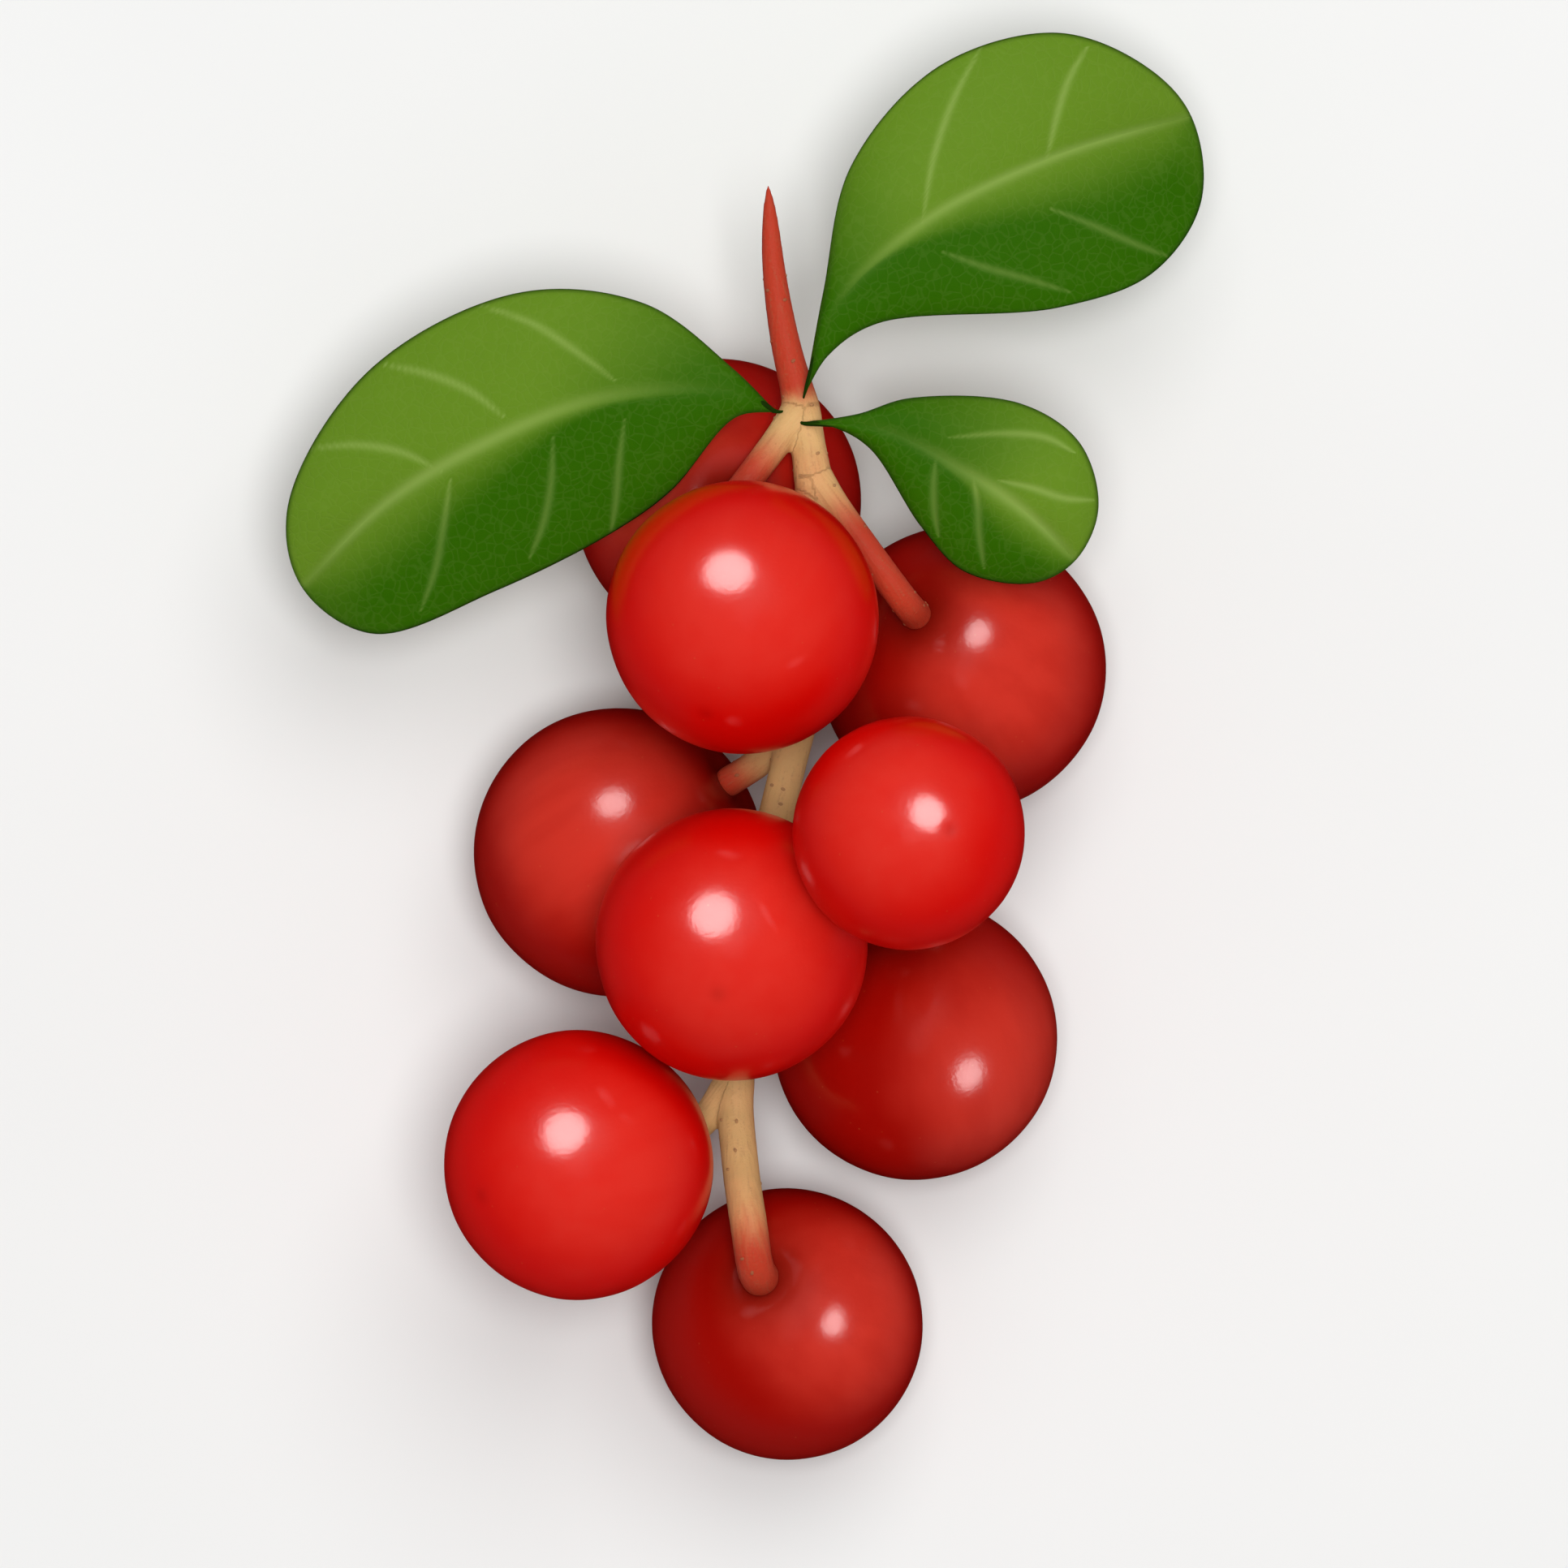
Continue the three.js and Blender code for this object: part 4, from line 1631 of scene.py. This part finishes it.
# ---------------------------------------------------------------- the spray's plan
# The lit colour is that of the painted lit patch; the darkest colour is painted shade round the
# stalk and also colours the apex scar.
SKINS = {
    Ripeness.BRIGHT: RipeSkin(
        "bright_skin", lit=(0.71, 0.026, 0.016), flush=(0.66, 0.0015, 0.0003),
        shade_and_scar=(0.22, 0.001, 0.0)),
    Ripeness.DEEP: RipeSkin(
        "deep_skin", lit=(0.60, 0.032, 0.018), flush=(0.36, 0.003, 0.001),
        shade_and_scar=(0.12, 0.002, 0.0)),
}

# Each fruit: ripeness, the way its painted lit patch faces, and where its highlight lies, as east
# and north shares of its radius seen from above.
FRUITS = {
    "fruit_top_back": FruitPlan(Ripeness.DEEP, (-0.30, 0.10), (-0.40, 0.20)),
    "fruit_right_back": FruitPlan(Ripeness.DEEP, (0.32, 0.0), (0.085, 0.245)),
    "fruit_left_back": FruitPlan(Ripeness.DEEP, (-0.20, 0.25), (-0.045, 0.335)),
    "fruit_lower_right_back": FruitPlan(Ripeness.DEEP, (0.63, -0.24), (0.39, -0.24)),
    "fruit_bottom": FruitPlan(Ripeness.DEEP, (0.36, 0.16), (0.345, 0.035)),
    "fruit_top_front": FruitPlan(Ripeness.BRIGHT, (0.03, 0.10), (-0.09, 0.335)),
    "fruit_middle_front": FruitPlan(Ripeness.BRIGHT, (0.05, 0.0), (-0.13, 0.23)),
    "fruit_right_front": FruitPlan(Ripeness.BRIGHT, (-0.08, 0.16), (0.17, 0.17)),
    "fruit_lower_left_front": FruitPlan(Ripeness.BRIGHT, (0.12, 0.0), (-0.095, 0.27)),
}

STALK = StalkPlan(
    route=(
        RoutePoint((0.08, 2.01, 0.93)),
        RoutePoint((0.10, 1.71, 0.94)),
        RoutePoint((0.14, 1.45, 0.96)),
        RoutePoint((0.20, 1.20, 0.98), "first_fork"),
        RoutePoint((0.24, 0.96, 1.01), "second_fork"),
        RoutePoint((0.25, 0.84, 1.00), "front_fork"),
        RoutePoint((0.25, 0.68, 0.97)),
        RoutePoint((0.24, 0.47, 0.88)),
        RoutePoint((0.18, 0.05, 0.83), "left_fork"),
        RoutePoint((0.08, -0.38, 0.82), "right_fork"),
        RoutePoint((0.06, -0.48, 0.81), "middle_fork"),
        RoutePoint((0.01, -0.76, 0.76)),
        RoutePoint((-0.04, -1.21, 0.74), "lower_fork"),
        RoutePoint((-0.02, -1.51, 0.84)),
        RoutePoint((0.01, -1.72, 0.99)),
    ),
    sides=(
        SideStalk("fruit_top_back", "first_fork", approach=0.5, first_red=0.05, full_red=0.75),
        SideStalk("fruit_top_front", "front_fork", approach=0.4),
        SideStalk("fruit_right_back", "second_fork", approach=1.1),
        SideStalk("fruit_left_back", "left_fork", approach=1.1, first_red=0.2, full_red=1.1),
        SideStalk("fruit_right_front", "right_fork",
                  via=((0.24, -0.35, 0.96), (0.37, -0.34, 1.20))),
        SideStalk("fruit_middle_front", "middle_fork", approach=0.3),
        SideStalk("fruit_lower_right_back", "right_fork", via=((0.27, -0.46, 0.84),)),
        SideStalk("fruit_lower_left_front", "lower_fork", first_red=0.4, full_red=1.0),
    ),
)

LEAVES = (
    LeafPlan(
        node="leaf_left", fork="first_fork", foot=(-0.09, -0.01), heading=-159.7,
        length=21.8, width=11.7,
        rib=((0.07, -0.13), (0.31, -0.27), (0.57, -0.26), (0.79, -0.18)),
        right=((0.05, -0.20), (0.17, -0.54), (0.40, -0.74), (0.73, -0.66), (0.97, -0.30)),
        left=((0.08, -0.03), (0.25, 0.14), (0.39, 0.21), (0.64, 0.26), (0.90, 0.25)),
        veins=(
            ((0.38, -0.15), (0.46, -0.60), (0.54, -0.98)),
            ((0.55, -0.12), (0.60, -0.55), (0.65, -0.95)),
            ((0.68, 0.03), (0.72, -0.45), (0.76, -0.98)),
            ((0.67, 0.12), (0.72, 0.53), (0.76, 0.90)),
            ((0.50, 0.18), (0.56, 0.62), (0.61, 0.88)),
            ((0.38, 0.23), (0.44, 0.70), (0.50, 1.00)),
        ),
        light_side=Side.RIGHT, crest=0.35, droop=5.0, over="fruit_top_back",
    ),
    LeafPlan(
        node="leaf_upper_right", fork="first_fork", foot=(0.01, 0.05), heading=35.9,
        length=20.6, width=12.6,
        rib=((0.17, 0.19), (0.41, 0.24), (0.71, 0.16)),
        left=((0.16, 0.25), (0.36, 0.54), (0.63, 0.64), (0.87, 0.50), (0.98, 0.24)),
        right=((0.09, 0.06), (0.21, 0.05), (0.54, -0.27), (0.74, -0.36), (0.91, -0.26)),
        veins=(
            ((0.50, 0.00), (0.52, 0.58), (0.56, 0.98)),
            ((0.74, 0.03), (0.72, 0.53), (0.73, 0.92)),
            ((0.47, -0.27), (0.50, -0.60), (0.54, -0.90)),
            ((0.66, -0.32), (0.69, -0.68), (0.71, -0.98)),
        ),
        light_side=Side.LEFT, crest=0.3, droop=5.5, arch=1.0,
    ),
    LeafPlan(
        node="leaf_right", fork="first_fork", foot=(0.00, -0.05), heading=-26.6,
        length=13.2, width=7.4,
        rib=((0.23, 0.17), (0.56, 0.17), (0.75, 0.13)),
        left=((0.15, 0.19), (0.28, 0.41), (0.61, 0.67), (0.84, 0.62), (0.99, 0.33)),
        right=((0.11, 0.06), (0.24, 0.04), (0.50, -0.23), (0.69, -0.35), (0.91, -0.23)),
        veins=(
            ((0.42, 0.33), (0.57, 0.73), (0.68, 0.90)),
            ((0.61, 0.10), (0.75, 0.40), (0.81, 0.92)),
            ((0.42, -0.12), (0.48, -0.60), (0.55, -0.90)),
            ((0.51, 0.03), (0.63, -0.40), (0.71, -0.88)),
        ),
        light_side=Side.LEFT, crest=0.6, droop=1.5, over="fruit_right_back",
        dark_foot=(0.3, 0.8),
    ),
)


# ---------------------------------------------------------------- studio
@dataclass(frozen=True)
class Lamp:
    """A soft round lamp, seen either in reflections only or not in them. Metres and watts."""

    name: str
    place: Triple
    diameter: float
    power: float
    is_for_gloss: bool = False
    aim: Triple = (0.0, 0.0, 0.0)

    def hang(self, receivers: tuple[bpy.types.Object, ...] = ()) -> None:
        """Puts the lamp in the scene.

        Args:
            receivers: the only pieces that it lights and that shade it. All pieces, if none.
        """
        data = bpy.data.lights.new(self.name, "AREA")
        data.shape = "DISK"
        data.size = self.diameter
        data.energy = self.power
        lamp = bpy.data.objects.new(self.name, data)
        lamp.location = self.place
        lamp.visible_glossy = self.is_for_gloss
        lamp.visible_diffuse = not self.is_for_gloss
        away = Vector(self.place) - Vector(self.aim)
        lamp.rotation_euler = away.to_track_quat("Z", "Y").to_euler()
        if receivers:
            chosen = bpy.data.collections.new(self.name)
            for piece in receivers:
                chosen.objects.link(piece)
            lamp.light_linking.receiver_collection = chosen
            lamp.light_linking.blocker_collection = chosen
        bpy.context.scene.collection.objects.link(lamp)


@dataclass(frozen=True)
class Glints:
    """Lamps seen only in the gloss: one for each fruit, and one for the stalk and leaves."""

    eye: Triple
    distance: float = 0.5
    bright_diameter: float = 0.33
    bright_power: float = 6.3
    deep_diameter: float = 0.21
    deep_power: float = 1.95
    rest_place: Triple = (0.068, 0.195, 0.455)
    rest_power: float = 1.6

    def add_to_fruit(self, fruit: bpy.types.Object, plan: FruitPlan, ball: Ball) -> None:
        """Hangs a fruit's own lamp where it mirrors towards the eye.

        Args:
            fruit: the only piece that the lamp lights.
            plan: says where on the fruit its highlight lies.
            ball: the fruit's place.
        """
        middle = Vector(ball.centre * MM)
        to_eye = (Vector(self.eye) - middle).normalized()
        facing = Vector(upper_side(plan.glint))
        to_lamp = 2 * facing.dot(to_eye) * facing - to_eye
        is_bright = plan.ripeness is Ripeness.BRIGHT
        diameter = self.bright_diameter if is_bright else self.deep_diameter
        power = self.bright_power if is_bright else self.deep_power
        place = tuple(middle + to_lamp * self.distance)
        lamp = Lamp(f"{fruit.name}_glint", place, diameter, power, True, tuple(middle))
        lamp.hang((fruit,))

    def add_to_rest(self, pieces: tuple[bpy.types.Object, ...]) -> None:
        """Hangs one lamp for the pieces with little gloss."""
        lamp = Lamp("soft_glint", self.rest_place, self.bright_diameter, self.rest_power, True)
        lamp.hang(pieces)


@dataclass(frozen=True)
class Studio:
    """A pale floor, soft light and a camera that looks straight down. Metres."""

    floor_size: float = 12.0
    floor_tones: tuple[Colour, Colour] = ((0.80, 0.80, 0.79), (0.86, 0.86, 0.85))
    floor_grain: float = 0.02
    camera_at: Triple = (0.00168, -0.00159, 1.5)
    lens: float = 793.8
    sensor: float = 36.0
    near_and_far: Plan = (0.01, 10.0)
    sky_tint: Colour = (0.98, 0.99, 1.0)
    sky_rise: Plan = (0.1, 1.0)
    zenith: float = 0.3
    horizon: float = 0.12
    backdrop: float = 0.8
    lamps: tuple[Lamp, ...] = (
        Lamp("key_lamp", (0.068, 0.195, 0.455), 0.34, 0.8),
        Lamp("top_lamp", (0.2, -0.16, 5.0), 1.8, 154.0),
    )

    def build(self) -> None:
        """Makes the floor, the lamps, the surrounding light and the camera."""
        self.lay_floor()
        for lamp in self.lamps:
            lamp.hang()
        self.light_room()
        bpy.context.scene.view_settings.view_transform = "Standard"
        self.set_camera()

    def lay_floor(self) -> None:
        """Makes the pale floor, which isn't seen in the gloss."""
        half = self.floor_size / 2
        corners = [(-half, -half, 0), (half, -half, 0), (half, half, 0), (-half, half, 0)]
        floor = new_piece("floor", np.array(corners, float), [(0, 1, 2, 3)])
        tree = ShaderTree("pale_floor", {"Roughness": 0.8, "Specular IOR Level": 0.15})
        grain = tree.noise(tree.place(), self.floor_grain, 3.0)
        tree.feed(tree.shader.inputs["Base Color"], tree.mix(grain, *self.floor_tones))
        floor.data.materials.append(tree.material)
        floor.visible_glossy = False

    def light_room(self) -> None:
        """Makes the surrounding light: soft from above, dim low down, not seen in the gloss."""
        world = bpy.data.worlds.new("soft_room")
        bpy.context.scene.world = world
        world.use_nodes = True
        tree = Tree(world.node_tree)
        way = tree.add("ShaderNodeTexCoord").outputs["Generated"]
        upward = tree.add("ShaderNodeSeparateXYZ", {0: way}).outputs[2]
        rise = tree.ease(upward, *self.sky_rise)
        light = tree.math("MULTIPLY_ADD", rise, self.zenith - self.horizon, self.horizon)
        is_seen = tree.add("ShaderNodeLightPath").outputs["Is Camera Ray"]
        seen = tree.math("MULTIPLY", is_seen, self.backdrop)
        unseen = tree.math("MULTIPLY", tree.math("SUBTRACT", 1.0, is_seen), light)
        background = world.node_tree.nodes["Background"]
        tree.feed(background.inputs["Color"], self.sky_tint)
        tree.feed(background.inputs["Strength"], tree.math("ADD", seen, unseen))
        world.cycles_visibility.glossy = False

    def set_camera(self) -> None:
        """Makes the camera, which looks straight down through a very long lens."""
        data = bpy.data.cameras.new("camera")
        data.lens = self.lens
        data.sensor_width = self.sensor
        data.clip_start, data.clip_end = self.near_and_far
        camera = bpy.data.objects.new("camera", data)
        camera.location = self.camera_at
        bpy.context.scene.collection.objects.link(camera)
        bpy.context.scene.camera = camera


# ---------------------------------------------------------------- the whole spray
def report_piece(piece: bpy.types.Object, node: str) -> None:
    """Logs a piece's size beside that of the CAD node that it stands for.

    Args:
        piece: the finished piece.
        node: the node's name.
    """
    points = vertices_of(piece) / MM
    size = points.max(axis=0) - points.min(axis=0)
    low, high = (np.array(corner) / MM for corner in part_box(node))
    own = " x ".join(f"{side:.2f}" for side in size)
    planned = " x ".join(f"{side:.2f}" for side in high - low)
    triangles = sum(len(face.vertices) - 2 for face in piece.data.polygons)
    log.info("%s: %s mm, planned %s mm, %d triangles", piece.name, own, planned, triangles)


def main() -> None:
    """Builds the studio, then the fruits, the stalk and the leaves."""
    logging.basicConfig(level=logging.INFO, format="%(name)s: %(message)s")
    studio = Studio()
    studio.build()
    glints = Glints(studio.camera_at)
    balls = {node: Ball.of_node(node) for node in FRUITS}
    crop = FruitCrop(FruitShape(), {ripeness: skin.build() for ripeness, skin in SKINS.items()})
    for seed, (node, plan) in enumerate(FRUITS.items(), start=1):
        fruit = crop.grow(node, plan, balls[node], seed)
        glints.add_to_fruit(fruit, plan, balls[node])
        report_piece(fruit, node)
    stalk = BranchedStalk(STALK, balls)
    leaf_skin = LeafSkin().build()
    rest = {"stalk": stalk.build(StalkBark().build())}
    for leaf in LEAVES:
        rest[leaf.node] = LeafBlade(leaf, LeafShape(), stalk).build(leaf_skin)
    for node, piece in rest.items():
        report_piece(piece, node)
    glints.add_to_rest(tuple(rest.values()))


if __name__ == "__main__":
    main()
